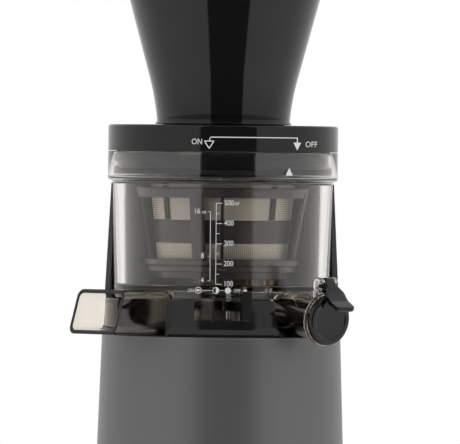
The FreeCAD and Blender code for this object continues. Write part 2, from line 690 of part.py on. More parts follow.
def drum():
    """Clear drum with floor, hub, rim, pulp chute and juice spout in one moulding."""
    inner = z.drum_radius - z.drum_wall
    foot_inner = z.drum_foot_radius - z.drum_wall
    shell = turned("drum_shell", [
        (z.shaft_radius + 5.2, floor_under - 2), (z.hub_radius - 2.2, floor_under), (z.hub_radius - 2.2, seam + gap),
        (z.hub_radius, seam + gap), (z.hub_radius, floor_under), (foot_inner, floor_under),
        (foot_inner, collar_top + gap), (z.drum_foot_radius, collar_top + gap), (z.drum_radius, ledge),
        (z.rim_radius, rim_low), (z.rim_radius, rim_top), (z.rim_radius - z.drum_wall, rim_top),
        (z.rim_radius - z.drum_wall, ledge + 2.4), (inner, ledge + 2), (foot_inner + 0.1, floor_top + 2),
        (foot_inner - 2, floor_top), (auger_pitch + 2.6, floor_top), (z.shaft_radius + 5.2, floor_top),
    ])
    lips = []
    lip = ring("rim_lip", z.rim_radius - z.drum_wall + 0.5, plug_radius + 0.4, rim_top - 2.1, rim_top)
    for index, (middle, width) in enumerate(((-4, 38), (83, 26), (176, 38), (263, 26))):
        half = z.rim_radius * math.sin(math.radians(width / 2))
        lips.append(box(f"lip_wedge_{index}", 100, half * 2, 10, azimuth=middle, out=10, side=-half,
                        up=rim_top - 5))
    lips = common("rim_lips", lip, fused("lip_wedges", *lips))

    width, tall = z.chute_width, z.chute_height
    chute_body = chute_form("chute_solid", z.chute_start, z.chute_top_reach, z.chute_foot_reach, width / 2,
                            seam + z.chute_rise, seam + z.chute_rise + tall, 4.0)
    chute_bore = chute_form("chute_hollow", z.chute_start - 10, z.chute_top_reach + 6, z.chute_foot_reach + 6,
                            width / 2 - z.chute_wall, seam + z.chute_rise + z.chute_wall,
                            seam + z.chute_rise + tall - z.chute_wall, 2.0)
    pulp_hole = cylinder("pulp_hole", 5.4, 20, azimuth=z.chute_azimuth, out=auger_pitch + 8.8 + 3,
                         up=floor_under - 6)

    start_up = seam + z.spout_rise
    lean = z.spout_slope + 90
    tube = turned("spout_tube", [
        (0, 0), (z.spout_radius - 1, 0), (z.spout_radius, 4), (z.spout_radius, z.spout_length - 2.5),
        (z.flange_radius, z.spout_length - 2.5), (z.flange_radius, z.spout_length), (0, z.spout_length),
    ])
    place(tube, azimuth=z.spout_azimuth, out=z.spout_start, up=start_up, tilt=lean)
    bore_local = cylinder("spout_bore", z.spout_radius - z.spout_wall, z.spout_length,
                          azimuth=z.spout_azimuth, out=z.spout_start + z.spout_wall, up=start_up, tilt=lean)
    juice_hole = cylinder("juice_hole", 4.6, 20, azimuth=z.spout_azimuth, out=foot_inner - 6.5,
                          up=start_up + 2)
    cheeks = []
    for index, side in enumerate((-1, 1)):
        middle = side * (z.cap_width / 2 + z.clip_width / 2 + 0.3)
        cheek = hinge_block(f"hinge_cheek_{index}", z.clip_radius, z.clip_width, middle)
        cheeks.append(cheek)
    pin_hole = hinge_rod("hinge_hole", z.hinge_pin_radius, z.cap_width + 2 * z.clip_width + 6, 0)
    pin_stub = cylinder("lever_stub", 4, 4, across=z.lever_offset, back=-z.lever_pivot, up=floor_under - 3.5)
    idler_boss = cylinder("idler_boss", 3, 0.5, azimuth=z.idler_azimuth, out=auger_pitch + idler_pitch,
                          up=floor_top - 0.1)
    solid = fused("drum_solid", shell, lips, chute_body, tube, *cheeks, pin_stub, idler_boss)
    lever_hole = cylinder("lever_hole", z.lever_pin_radius, 12, across=z.lever_offset,
                          back=-z.lever_pivot, up=floor_under - 11)
    idler_hole = cylinder("idler_hole", 2, 3, azimuth=z.idler_azimuth, out=auger_pitch + idler_pitch,
                          up=floor_top - 1.6)
    keep("juice_drum", cut("juice_drum", solid, chute_bore, bore_local, pulp_hole, juice_hole, pin_hole,
                           lever_hole, idler_hole))
    keep("idler_pin", cylinder("idler_pin", 2, z.gear_face + 2, azimuth=z.idler_azimuth,
                               out=auger_pitch + idler_pitch, up=floor_top - 1.6))
    keep("lever_pin", cylinder("lever_pin", z.lever_pin_radius, 17.9, across=z.lever_offset,
                               back=-z.lever_pivot, up=floor_under - 17))
    keep("cap_pin", hinge_rod("cap_pin", z.hinge_pin_radius, z.cap_width + 2 * z.clip_width + 1, 0))
    keep("drum_gasket", ring("drum_gasket", z.shaft_radius + 5.1, z.shaft_radius + 0.4, floor_under - 1.5,
                             floor_top + 0.4))


def chute_form(name, start, top_reach, foot_reach, half, low, high, corner):
    """A square tube with a slanted mouth and rounded long edges, laid along its azimuth."""
    body = doc.addObject("PartDesign::Body", name)
    sketch = sketch_on(body, name + "_side")
    outline(sketch, [(start, low), (foot_reach, low), (top_reach, high), (start, high)])
    pad = body.newObject("PartDesign::Pad", name + "_pad")
    pad.Profile = sketch
    pad.Midplane = True
    bind(pad, Length=half * 2)
    rounded(body, name + "_round", measure(corner),
            lambda radius, level, edge: edge.Length > 40 and (near(level, low) or near(level, high)))
    turn = z.chute_azimuth - 90
    body.setExpression("Placement", f"placement(vector(0; 0; 0); rotationz({turn.text}))")
    return body


def hinge_spot():
    """Where the cap's hinge stands: distance out along the spout's azimuth, and level."""
    reach = z.spout_start + z.spout_length - 1.2
    return reach, seam + z.spout_rise - z.spout_length * sine(z.spout_slope) + z.hinge_rise


def hinge_rod(name, radius, length, middle):
    """A rod square to the spout's azimuth at the hinge."""
    reach, level = hinge_spot()
    turn = z.spout_azimuth - 90
    across = cosine(turn) * reach - sine(turn) * (middle - length / 2)
    back = sine(turn) * reach + cosine(turn) * (middle - length / 2)
    item = cylinder(name, radius, length)
    text = f"placement(vector({across.text}; {back.text}; {level.text}); rotationz({turn.text}))"
    item.setExpression("Placement", text + " * placement(vector(0; 0; 0); rotationx(-90))")
    return item


def hinge_block(name, radius, width, middle):
    """A round hinge cheek, with a foot that reaches down to the spout's flange."""
    reach, level = hinge_spot()
    rod = hinge_rod(name + "_round", radius, measure(width), measure(middle))
    drop = z.hinge_rise - z.spout_radius + 3
    foot = box(name + "_foot", 4.4, width, drop, azimuth=z.spout_azimuth, out=reach - 4.4,
               side=middle - width / 2, up=level - drop)
    return fused(name, rod, foot)


def juice_cap():
    """Round cap on a thumb lever that swings up about the pin."""
    reach, level = hinge_spot()
    start_up = seam + z.spout_rise
    lean = z.spout_slope + 90
    disc = turned("cap_disc", [
        (0, z.spout_length + gap), (z.cap_radius - 1, z.spout_length + gap),
        (z.cap_radius, z.spout_length + gap + 1),
        (z.cap_radius, z.spout_length + gap + z.cap_thickness - 1.2),
        (z.cap_radius - 1.2, z.spout_length + gap + z.cap_thickness), (0, z.spout_length + gap + z.cap_thickness),
    ])
    place(disc, azimuth=z.spout_azimuth, out=z.spout_start, up=start_up, tilt=lean)
    width = z.cap_width
    knuckle = hinge_rod("cap_knuckle", z.clip_radius - 0.4, width, measure(0))
    body = doc.addObject("PartDesign::Body", "thumb_lever")
    sketch = sketch_on(body, "thumb_side")
    outline(sketch, [
        (reach + 0.5, level + 4.2), (reach + 4.2, level + 3.2), (reach + 7.5, level - 2.4),
        (reach + 12, level - 8), (reach + 18.5, level - 13.2), (reach + 18.5, level - 16.2),
        (reach + 11, level - 13), (reach + 6.2, level - 9.2), (reach + 5.8, level - 14), (reach + 3.4, level - 14),
        (reach + 3.4, level - 4.2), (reach + 0.5, level - 3.2),
    ])
    pad = body.newObject("PartDesign::Pad", "thumb_pad")
    pad.Profile = sketch
    pad.Midplane = True
    bind(pad, Length=width)
    turn = z.spout_azimuth - 90
    body.setExpression("Placement", f"placement(vector(0; 0; 0); rotationz({turn.text}))")
    wing = doc.addObject("PartDesign::Body", "thumb_wing")
    sketch = sketch_on(wing, "wing_side")
    outline(sketch, [
        (reach + 4.4, level + 2.6), (reach + 7.5, level - 2.4), (reach + 12, level - 8),
        (reach + 18.5, level - 13.2), (reach + 18.5, level - 16.2), (reach + 11, level - 12.6),
        (reach + 5.6, level - 7), (reach + 5.2, level - 1.5),
    ])
    pad = wing.newObject("PartDesign::Pad", "wing_pad")
    pad.Profile = sketch
    pad.Midplane = True
    bind(pad, Length=width * 2)
    wing.setExpression("Placement", f"placement(vector(0; 0; 0); rotationz({turn.text}))")
    bore = hinge_rod("cap_bore", z.hinge_pin_radius + 0.05, width + 8, 0)
    keep("juice_cap", cut("juice_cap", fused("cap_solid", disc, knuckle, body, wing), bore))
    seal = turned("cap_seal", [
        (z.spout_radius - z.spout_wall - 3, z.spout_length - 2.2),
        (z.spout_radius - z.spout_wall - 0.6, z.spout_length - 2.2),
        (z.spout_radius - z.spout_wall - gap, z.spout_length - 1.4),
        (z.spout_radius - z.spout_wall - gap, z.spout_length + gap),
        (z.spout_radius - z.spout_wall - 3, z.spout_length + gap),
    ])
    place(seal, azimuth=z.spout_azimuth, out=z.spout_start, up=start_up, tilt=lean)
    keep("cap_seal", seal)


def lever():
    """Pulp lever below the drum: a pivot eye, an arm, an upright paddle and a silicone plug."""
    low = seam + 15.5
    high = floor_under - 6.2
    paddle_low = seam + z.window_sill + 0.6
    turn = z.lever_angle

    def part(item, along, side, up):
        across = z.lever_offset + sine(turn) * along + cosine(turn) * side
        back = -z.lever_pivot - cosine(turn) * along + sine(turn) * side
        angle = turn - 90
        text = f"placement(vector({across.text}; {back.text}; {measure(up).text}); rotationz({angle.text}))"
        item.setExpression("Placement", text)
        return item

    eye = cylinder("lever_eye", 4.4, high - low, across=z.lever_offset, back=-z.lever_pivot, up=low)
    arm = part(bind(doc.addObject("Part::Box", "lever_arm"), Length=z.lever_reach, Width=5, Height=high - low),
               0, measure(-2.5), low)
    paddle = part(bind(doc.addObject("Part::Box", "lever_paddle"), Length=4.5, Width=6,
                       Height=floor_under - paddle_low - 0.2), z.lever_reach - 1, measure(-3), paddle_low)
    tail = part(bind(doc.addObject("Part::Box", "lever_tail"), Length=11, Width=4, Height=high - low),
                measure(-11), measure(-2), low)
    bore = cylinder("lever_bore", z.lever_pin_radius + 0.05, 40, across=z.lever_offset,
                    back=-z.lever_pivot, up=low - 10)
    keep("control_lever", cut("control_lever", fused("lever_solid", eye, arm, paddle, tail), bore))
    plug = part(bind(doc.addObject("Part::Box", "lever_plug"), Length=3, Width=8, Height=high - low),
                measure(-14), measure(-4), low)
    keep("lever_plug", plug)


def gears_in_drum():
    wheel = made("auger_wheel", gear_blank(z.auger_teeth, z.gear_module, z.gear_face, 0))
    place(wheel, up=gear_low, azimuth=90)
    bore = cylinder("auger_wheel_bore", z.shaft_radius + 1.5, 20, up=gear_low - 5)
    keep("auger_gear", cut("auger_gear", wheel, bore))
    spot = float(z.idler_azimuth) - 90
    idler = made("idler_wheel", gear_blank(z.idler_teeth, z.gear_module, z.gear_face - 0.4,
                                           idler_phase(spot)))
    place(idler, azimuth=z.idler_azimuth, out=auger_pitch + idler_pitch, up=gear_low + 0.2)
    bore = cylinder("idler_wheel_bore", 2.05, 20, azimuth=z.idler_azimuth, out=auger_pitch + idler_pitch,
                    up=gear_low - 5)
    keep("idler_gear", cut("idler_gear", idler, bore))


def idler_phase(spot):
    """Turns the idler so that a gap of it faces the auger gear's tooth on the line of centres."""
    auger_step = 360.0 / float(z.auger_teeth)
    idler_step = 360.0 / float(z.idler_teeth)
    offset = (spot % auger_step) / auger_step
    return 180.0 + (0.5 + offset) * idler_step


def ring_phase(spot):
    """Turns the ring gear so that a space of it takes the idler's outer tooth."""
    idler_step = 360.0 / float(z.idler_teeth)
    ring_step = 360.0 / float(z.ring_teeth)
    facing = (0.0 - idler_phase(spot)) % idler_step / idler_step
    return spot - facing * ring_step


def strainer():
    """Cone basket with a deep cup below and mesh windows in two rows."""
    wall = z.strainer_wall
    high = ledge + 2.1
    frame = turned("strainer_basket", [
        (auger_pitch - 0.4, strainer_low), (cup_radius - gap * 2, strainer_low),
        (cup_radius - gap * 2, strainer_step),
        (z.strainer_foot, strainer_step), (z.strainer_top, ledge - 2), (z.strainer_top, ledge),
        (z.drum_radius - z.drum_wall - gap - 0.5, ledge), (z.drum_radius - z.drum_wall - gap - 0.5, high),
        (z.strainer_top - wall, high), (z.strainer_foot - wall, strainer_step + wall),
        (cup_radius - gap * 2 - wall, strainer_step + wall), (cup_radius - gap * 2 - wall, strainer_low + wall),
        (auger_pitch - 0.4, strainer_low + wall),
    ])
    count = int(float(z.window_count))
    rows = ((strainer_step + 4, 11.5), (ledge - 21.5, 17.5))
    tools = []
    for row, (level, tall) in enumerate(rows):
        for index in range(count // 2):
            angle = 180.0 * index / (count // 2) + 22.5
            tools.append(box(f"mesh_window_{row}_{index}", 130, z.strainer_foot * 0.62, tall, azimuth=angle,
                             out=-65, side=-(z.strainer_foot * 0.31), up=level))
    hole = cylinder("strainer_pulp_hole", 4.8, 20, azimuth=z.chute_azimuth, out=auger_pitch + 8.8,
                    up=strainer_low - 5)
    lets = fused("flange_gaps", *[
        cylinder(f"flange_gap_{index}", 5, 20, azimuth=index * 36.0 + 18, out=z.drum_radius - 12.5, up=ledge - 5)
        for index in range(10)])
    keep("strainer_frame", cut("strainer_frame", frame, *tools, hole, lets))
    slope = (z.strainer_top - z.strainer_foot) / (high - strainer_step - wall)
    sheets = []
    for row, (level, tall) in enumerate(rows):
        inside = z.strainer_foot - wall - 0.05 - slope * (strainer_step + wall)
        low_radius = inside + slope * (level - 1.2)
        high_radius = inside + slope * (level + tall + 1.2)
        sheets.append(turned(f"mesh_sheet_{row}", [
            (low_radius - 0.6, level - 1.2), (low_radius, level - 1.2), (high_radius, level + tall + 1.2),
            (high_radius - 0.6, level + tall + 1.2),
        ]))
    keep("strainer_mesh", grouped("strainer_mesh", sheets))


def brush():
    """Open basket round the strainer, driven by the ring gear at its foot."""
    wall = z.brush_wall
    top = ledge - 3.5
    foot_radius = ring_pitch + 6
    ring_solid = Part.makeCylinder(float(foot_radius), float(z.gear_face) - 0.4)
    teeth = Part.Face(tooth_polygon(int(float(z.ring_teeth)), float(z.gear_module),
                                    ring_phase(float(z.idler_azimuth) - 90), True))
    space = teeth.extrude(Vector(0, 0, 20))
    space.translate(Vector(0, 0, -5))
    gear = made("brush_ring_gear", ring_solid.cut(space))
    place(gear, up=gear_low + 0.2)
    cone_low = brush_plate + 1
    slope = (z.brush_top - z.brush_foot) / (top - cone_low)
    basket = turned("brush_basket", [
        (cup_radius + gap * 2, brush_low - 0.6), (foot_radius, brush_low - 0.6), (foot_radius, brush_low + 3),
        (z.brush_foot - 0.6, brush_low + 3), (z.brush_foot + 0.6, brush_low + 4), (z.brush_foot + 0.6, brush_plate),
        (z.brush_foot, cone_low), (z.brush_top, top), (z.brush_top - wall, top),
        (z.brush_foot - wall, cone_low + 0.4), (z.brush_foot - wall, brush_plate - 1.5),
        (cup_radius + gap * 2, brush_plate - 1.5),
    ])
    openings = []
    for index in range(2):
        openings.append(box(f"brush_window_{index}", 140, 56, top - cone_low - 12, azimuth=index * 90 + 45.0,
                            out=-70, side=-28, up=cone_low + 4))
    keep("brush_frame", fused("brush_frame", cut("brush_open", basket, *openings), gear))
    blades = []
    for index in range(4):
        low_out = z.brush_foot + 0.2
        body = doc.addObject("PartDesign::Body", f"brush_blade_{index}")
        sketch = sketch_on(body, f"blade_side_{index}")
        outline(sketch, [
            (low_out + slope * 4, cone_low + 4), (z.drum_foot_radius - z.drum_wall - 2, cone_low + 4),
            (z.drum_radius - z.drum_wall - 2.2, top - 5), (low_out + slope * (top - 5 - cone_low), top - 5),
        ])
        pad = body.newObject("PartDesign::Pad", f"blade_pad_{index}")
        pad.Profile = sketch
        pad.Midplane = True
        pad.Length = 1.6
        body.setExpression("Placement", f"placement(vector(0; 0; 0); rotationz({index * 90.0}))")
        blades.append(body)
    keep("brush_blades", grouped("brush_blades", blades))


def helix_flight(name, low, high, turns, start, inner_low, inner_high, outer_low, outer_high, thick_low, thick_high):
    """A screw flight: rectangular sections carried along a helix and lofted."""
    steps = max(6, int(turns * 9))
    wires = []
    for step in range(steps + 1):
        share = step / steps
        angle = math.radians(start + 360 * turns * share)
        level = low + (high - low) * share ** 1.15
        inner = inner_low + (inner_high - inner_low) * share
        outer = outer_low + (outer_high - outer_low) * share
        half = (thick_low + (thick_high - thick_low) * share) / 2
        spots = [(inner, level - half), (outer, level - half * 0.5), (outer, level + half * 0.5), (inner, level + half)]
        points = [Vector(radius * math.cos(angle), radius * math.sin(angle), up) for radius, up in spots]
        wires.append(Part.makePolygon(points + points[:1]))
    return Part.makeLoft(wires, True, False)


def auger():
    """Pressing screw: a tapered core, helical flights and a hexagonal socket."""
    core_low = strainer_low + z.strainer_wall + 0.5
    cup = cup_radius - gap * 2 - z.strainer_wall
    core_high = rim_top - 8
    core = turned("auger_core", [
        (z.shaft_radius + 0.6, gear_top), (auger_pitch - 1, gear_top), (auger_pitch - 1, core_low),
        (cup - 1.2, core_low), (cup - 1.2, strainer_step + 1), (z.core_foot, strainer_step + 5),
        (z.core_top, core_high - 12), (6, core_high), (6, rim_top + 6), (5, rim_top + 7), (0, rim_top + 7),
        (0, core_high - 20), (z.shaft_radius + 0.6, core_high - 24),
    ])
    top = ledge + 6
    base = strainer_step + z.strainer_wall + 6
    count = int(float(z.flight_count))
    flights = [
        helix_flight("flight", float(base), float(top), float(z.auger_turns), 360.0 * index / count + 30,
                     float(z.core_foot) - 6, float(z.core_top) - 3,
                     float(z.strainer_foot - z.strainer_wall) - 0.9 + 0.6,
                     float(z.strainer_top - z.strainer_wall) - 1.2, 6.5, 4.0)
        for index in range(count)
    ]
    pieces = [made(f"auger_flight_{index}", flight) for index, flight in enumerate(flights)]
    whole = fused("auger_solid", core, *pieces)
    well = cylinder("auger_well", z.shaft_radius + 0.6, core_high - 24 - gear_top + 1, up=gear_top - 1)
    prism = doc.addObject("Part::Prism", "hex_socket_void")
    prism.Polygon = 6
    bind(prism, Circumradius=z.hex_socket, Height=core_high - gear_low)
    place(prism, up=floor_top + 0.5)
    plugged = cylinder("hex_sleeve_rod", z.shaft_radius + 1.4, z.hex_rise - 18, up=gear_low)
    socket = cut("hex_sleeve", plugged, prism)
    keep("auger", fused("auger", cut("auger_open", whole, well), socket))


def lid():
    """Bayonet lid: outer ring, plug with lugs, feed opening round a bushed spider and a throat."""
    plug_low = ledge + 4
    shell = turned("lid_shell", [
        (13, rim_top + 2), (plug_radius - z.plug_wall, rim_top + 2), (plug_radius - z.plug_wall, plug_low),
        (plug_radius, plug_low), (plug_radius, rim_top + gap), (z.rim_radius, rim_top + gap),
        (z.rim_radius, lid_top - 1.5), (z.rim_radius - 1.5, lid_top), (z.throat_radius, lid_top),
        (z.throat_radius, lid_top + 4), (z.throat_radius - 2, lid_top + 4),
        (z.throat_radius - 2, rim_top + 4.6), (13, rim_top + 4.6),
    ])
    hollow = ring("lid_hollow", z.rim_radius - 3, z.throat_radius + 2, rim_top + 4.6, lid_top - 2.6)
    boss = turned("lid_boss", [(8.2, rim_top + 0.5), (14, rim_top + 0.5), (14, rim_top + 9),
                               (11, rim_top + 11), (8.2, rim_top + 11)])
    crescent = ring("feed_ring", z.throat_radius - 2.5, 14.5, rim_top - 2, rim_top + 8)
    block = box("feed_keep", 100, 11, 20, azimuth=180, out=-50, side=-5.5, up=rim_top - 5)
    back = box("feed_back", 50, 80, 20, azimuth=180, side=-40, up=rim_top - 5)
    feeds = cut("feed_opening", crescent, back, block)
    lugs = []
    lug_ring = ring("lug_ring", z.rim_radius - z.drum_wall - gap, plug_radius - 1, rim_top - z.lug_level + 5,
                    rim_top - z.lug_level + 5 + z.lug_height)
    for index, (middle, width) in enumerate(((-53.5, 49), (42.3, 42), (126.5, 49), (222.3, 42))):
        half = z.rim_radius * math.sin(math.radians(width / 2))
        lugs.append(box(f"lug_wedge_{index}", 62, half * 2, 20, azimuth=middle, out=8, side=-half,
                        up=rim_top - 20))
    lugs = common("lid_lugs", lug_ring, fused("lug_wedges", *lugs))
    keep("drum_lid", cut("drum_lid", fused("lid_solid", cut("lid_cored", shell, hollow), boss, lugs), feeds))
    keep("lid_bush", ring("lid_bush", 8.2, 6.05, rim_top + 0.5, rim_top + 9))
    keep("lid_gasket", ring("lid_gasket", plug_radius + 1.7, plug_radius, plug_low + 0.5, plug_low + 3))


def hopper():
    """Tall flared funnel that slips over the lid's throat."""
    low = hopper_base
    top = low + z.hopper_height
    wall = z.hopper_wall
    waist = low + z.waist_rise
    slope = (z.mouth_radius - z.waist_radius) / (top - waist)
    turned("hopper", [
        (z.neck_radius - wall, low), (z.neck_radius + 0.9, low), (z.neck_radius + 0.9, low + 1.4),
        (z.neck_radius - 0.2, low + 2), (z.waist_radius, waist), (z.mouth_radius - 0.5, top - 2 * z.bead_radius),
        (z.mouth_radius + 1.2, top - 1.6 * z.bead_radius), (z.mouth_radius + 1.2, top - 0.5), (z.mouth_radius, top),
        (z.mouth_radius - wall, top), (z.waist_radius - wall, waist),
    ], arcs=(3, ))
    keep("hopper", doc.getObject("hopper"))
    keep("throat_seal", ring("throat_seal", z.neck_radius - wall - gap, z.throat_radius, lid_top + 1, lid_top + 3.4))


for build in (housing, collar, base_pieces, motor, gearbox, rear_pieces, drum, juice_cap, lever,
              gears_in_drum, strainer, brush, auger, lid, hopper):
    build()
doc.recompute()

failed = [item.Label for item in doc.Objects if {"Invalid", "Error"} & set(item.State)]
bad = [name for name, item in nodes.items()
       if item.Shape.isNull() or not item.Shape.isValid() or not item.Shape.Solids]
if failed or bad:
    raise SystemExit(f"failed features: {failed}; bad pieces: {bad}")
for name, item in nodes.items():
    item.Shape.exportStep(f"parts/{name}.step")
    print(f"{name}: {len(item.Shape.Solids)} solids, {item.Shape.Volume / 1000:.1f} cm3")
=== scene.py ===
import json
import math

import bmesh
import bpy
import numpy as np
from mathutils import Matrix, Vector

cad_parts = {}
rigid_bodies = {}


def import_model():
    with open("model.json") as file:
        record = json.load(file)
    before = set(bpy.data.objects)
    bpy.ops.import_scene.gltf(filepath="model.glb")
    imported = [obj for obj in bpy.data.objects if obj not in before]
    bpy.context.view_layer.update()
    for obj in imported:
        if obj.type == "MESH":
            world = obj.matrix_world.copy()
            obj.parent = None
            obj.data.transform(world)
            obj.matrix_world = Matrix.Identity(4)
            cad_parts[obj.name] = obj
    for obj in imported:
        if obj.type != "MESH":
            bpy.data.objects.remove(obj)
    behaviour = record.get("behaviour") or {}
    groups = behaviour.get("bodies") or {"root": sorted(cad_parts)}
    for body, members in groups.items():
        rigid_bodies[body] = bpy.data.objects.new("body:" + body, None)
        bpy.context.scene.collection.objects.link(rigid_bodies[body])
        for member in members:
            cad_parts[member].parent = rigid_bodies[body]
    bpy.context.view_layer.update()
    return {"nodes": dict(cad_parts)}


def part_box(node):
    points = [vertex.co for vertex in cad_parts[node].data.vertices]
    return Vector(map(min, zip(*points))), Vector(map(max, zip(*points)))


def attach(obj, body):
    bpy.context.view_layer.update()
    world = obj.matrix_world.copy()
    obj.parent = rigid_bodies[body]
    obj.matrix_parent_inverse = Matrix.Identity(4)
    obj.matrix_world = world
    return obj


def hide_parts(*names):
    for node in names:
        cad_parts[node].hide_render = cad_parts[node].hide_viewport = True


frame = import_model()
nodes = frame["nodes"]
mm = 0.001  # every size in the dictionaries below is in millimetres

for spare in [o for o in bpy.data.objects if o.name in ("Cube", "Light", "Camera")]:
    bpy.data.objects.remove(spare)


# levels that many pieces share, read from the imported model
def top(node):
    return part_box(node)[1].z / mm


def low(node):
    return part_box(node)[0].z / mm


level = {
    "lidTop": top("throat_seal") - 3.4,
    "hopperFoot": low("hopper"),
    "hopperTop": top("hopper"),
    "rimTop": top("juice_drum"),
    "seam": top("shaft_seal") - 6,
    "skirt": low("column_liner") + 22.2,
}
level["ledge"] = level["rimTop"] - 18
level["floor"] = level["seam"] + 30
print("frame loaded", {key: round(value, 1) for key, value in level.items()})


# Materials: each maker returns the material with its tree and its main shader
def nodeTree(name):
    material = bpy.data.materials.new(name)
    material.use_nodes = True
    return material, material.node_tree, material.node_tree.nodes["Principled BSDF"]


def link(tree, source, target):
    tree.links.new(source, target)


# a node with its inputs or settings given by name
def addNode(tree, kind, **values):
    made = tree.nodes.new(kind)
    for key, value in values.items():
        if key in made.inputs:
            made.inputs[key].default_value = value
        else:
            setattr(made, key, value)
    return made


def objectSpace(tree, scale=(1, 1, 1)):
    coords = addNode(tree, "ShaderNodeTexCoord")
    mapping = addNode(tree, "ShaderNodeMapping")
    mapping.inputs["Scale"].default_value = scale
    link(tree, coords.outputs["Object"], mapping.inputs["Vector"])
    return mapping.outputs["Vector"]


# a value from 0 to 1 becomes one between two limits
def between(tree, fac, least, most):
    ramp = addNode(tree, "ShaderNodeMapRange")
    ramp.inputs["To Min"].default_value = least
    ramp.inputs["To Max"].default_value = most
    link(tree, fac, ramp.inputs["Value"])
    return ramp.outputs["Result"]


def colours(tree, fac, first, second):
    mix = addNode(tree, "ShaderNodeMix", data_type="RGBA")
    mix.inputs[6].default_value = (*first, 1)
    mix.inputs[7].default_value = (*second, 1)
    link(tree, fac, mix.inputs["Factor"])
    return mix.outputs[2]


def bumped(tree, shader, height, strength, distance):
    bump = addNode(tree, "ShaderNodeBump", Strength=strength, Distance=distance)
    link(tree, height, bump.inputs["Height"])
    link(tree, bump.outputs["Normal"], shader.inputs["Normal"])


# a plastic or paint: two close colours, a roughness that drifts, and a fine grain
def solidFinish(name, colour, spread=0.15, rough=(0.3, 0.36), metal=0.0, grain=900, grainDepth=0.02,
                specular=0.5, coat=0.0, drift=14):
    material, tree, shader = nodeTree(name)
    space = objectSpace(tree)
    broad = addNode(tree, "ShaderNodeTexNoise", Scale=drift, Detail=4.0, Roughness=0.6)
    fine = addNode(tree, "ShaderNodeTexNoise", Scale=grain, Detail=2.0)
    link(tree, space, broad.inputs["Vector"])
    link(tree, space, fine.inputs["Vector"])
    darker = tuple(c * (1 - spread) for c in colour)
    lighter = tuple(min(1, c * (1 + spread)) for c in colour)
    link(tree, colours(tree, fine.outputs["Fac"], darker, lighter), shader.inputs["Base Color"])
    link(tree, between(tree, broad.outputs["Fac"], *rough), shader.inputs["Roughness"])
    shader.inputs["Metallic"].default_value = metal
    shader.inputs["Specular IOR Level"].default_value = specular
    shader.inputs["Coat Weight"].default_value = coat
    shader.inputs["Coat Roughness"].default_value = 0.08
    if grainDepth:
        bumped(tree, shader, fine.outputs["Fac"], grainDepth, 0.0002)
    return material


# see-through plastic: tinted, with the faint waviness of a moulding
def clearFinish(name, colour, tint, tintDensity, rough=0.02, waviness=0.04):
    material, tree, shader = nodeTree(name)
    space = objectSpace(tree, (1, 1, 0.4))
    wave = addNode(tree, "ShaderNodeTexNoise", Scale=60.0, Detail=1.0)
    link(tree, space, wave.inputs["Vector"])
    darker = tuple(c * 0.97 for c in colour)
    link(tree, colours(tree, wave.outputs["Fac"], darker, colour), shader.inputs["Base Color"])
    shader.inputs["Roughness"].default_value = rough
    shader.inputs["Transmission Weight"].default_value = 1.0
    shader.inputs["IOR"].default_value = 1.49
    bumped(tree, shader, wave.outputs["Fac"], waviness, 0.0004)
    depth = addNode(tree, "ShaderNodeVolumeAbsorption", Density=tintDensity)
    depth.inputs["Color"].default_value = (*tint, 1)
    link(tree, depth.outputs["Volume"], tree.nodes["Material Output"].inputs["Volume"])
    return material


# perforated sheet: round holes on the piece's own UV map, painted darker as the shade seen through them
def meshFinish(name, colour, across, tall):
    material, tree, shader = nodeTree(name)
    uv = addNode(tree, "ShaderNodeUVMap", uv_map="sheet")
    mapping = addNode(tree, "ShaderNodeMapping")
    mapping.inputs["Scale"].default_value = (across, tall, 1)
    link(tree, uv.outputs["UV"], mapping.inputs["Vector"])
    cells = addNode(tree, "ShaderNodeTexVoronoi", Scale=1.0, Randomness=0.0)
    link(tree, mapping.outputs["Vector"], cells.inputs["Vector"])
    hole = addNode(tree, "ShaderNodeMath", operation="LESS_THAN")
    hole.inputs[1].default_value = 0.26
    link(tree, cells.outputs["Distance"], hole.inputs[0])
    space = objectSpace(tree)
    fine = addNode(tree, "ShaderNodeTexNoise", Scale=300.0, Detail=2.0)
    link(tree, space, fine.inputs["Vector"])
    tint = colours(tree, fine.outputs["Fac"], tuple(c * 0.88 for c in colour), colour)
    # painted shade: inside each hole the colour is multiplied down to stand in for the shade seen through the
    # openings
    holeShade = colours(tree, hole.outputs["Value"], (1, 1, 1), (0.35, 0.33, 0.3))
    mix = addNode(tree, "ShaderNodeMix", data_type="RGBA", blend_type="MULTIPLY")
    mix.inputs["Factor"].default_value = 1.0
    link(tree, tint, mix.inputs[6])
    link(tree, holeShade, mix.inputs[7])
    link(tree, mix.outputs[2], shader.inputs["Base Color"])
    shader.inputs["Metallic"].default_value = 0.25
    shader.inputs["Roughness"].default_value = 0.45
    bumped(tree, shader, cells.outputs["Distance"], 0.3, 0.0002)
    return material


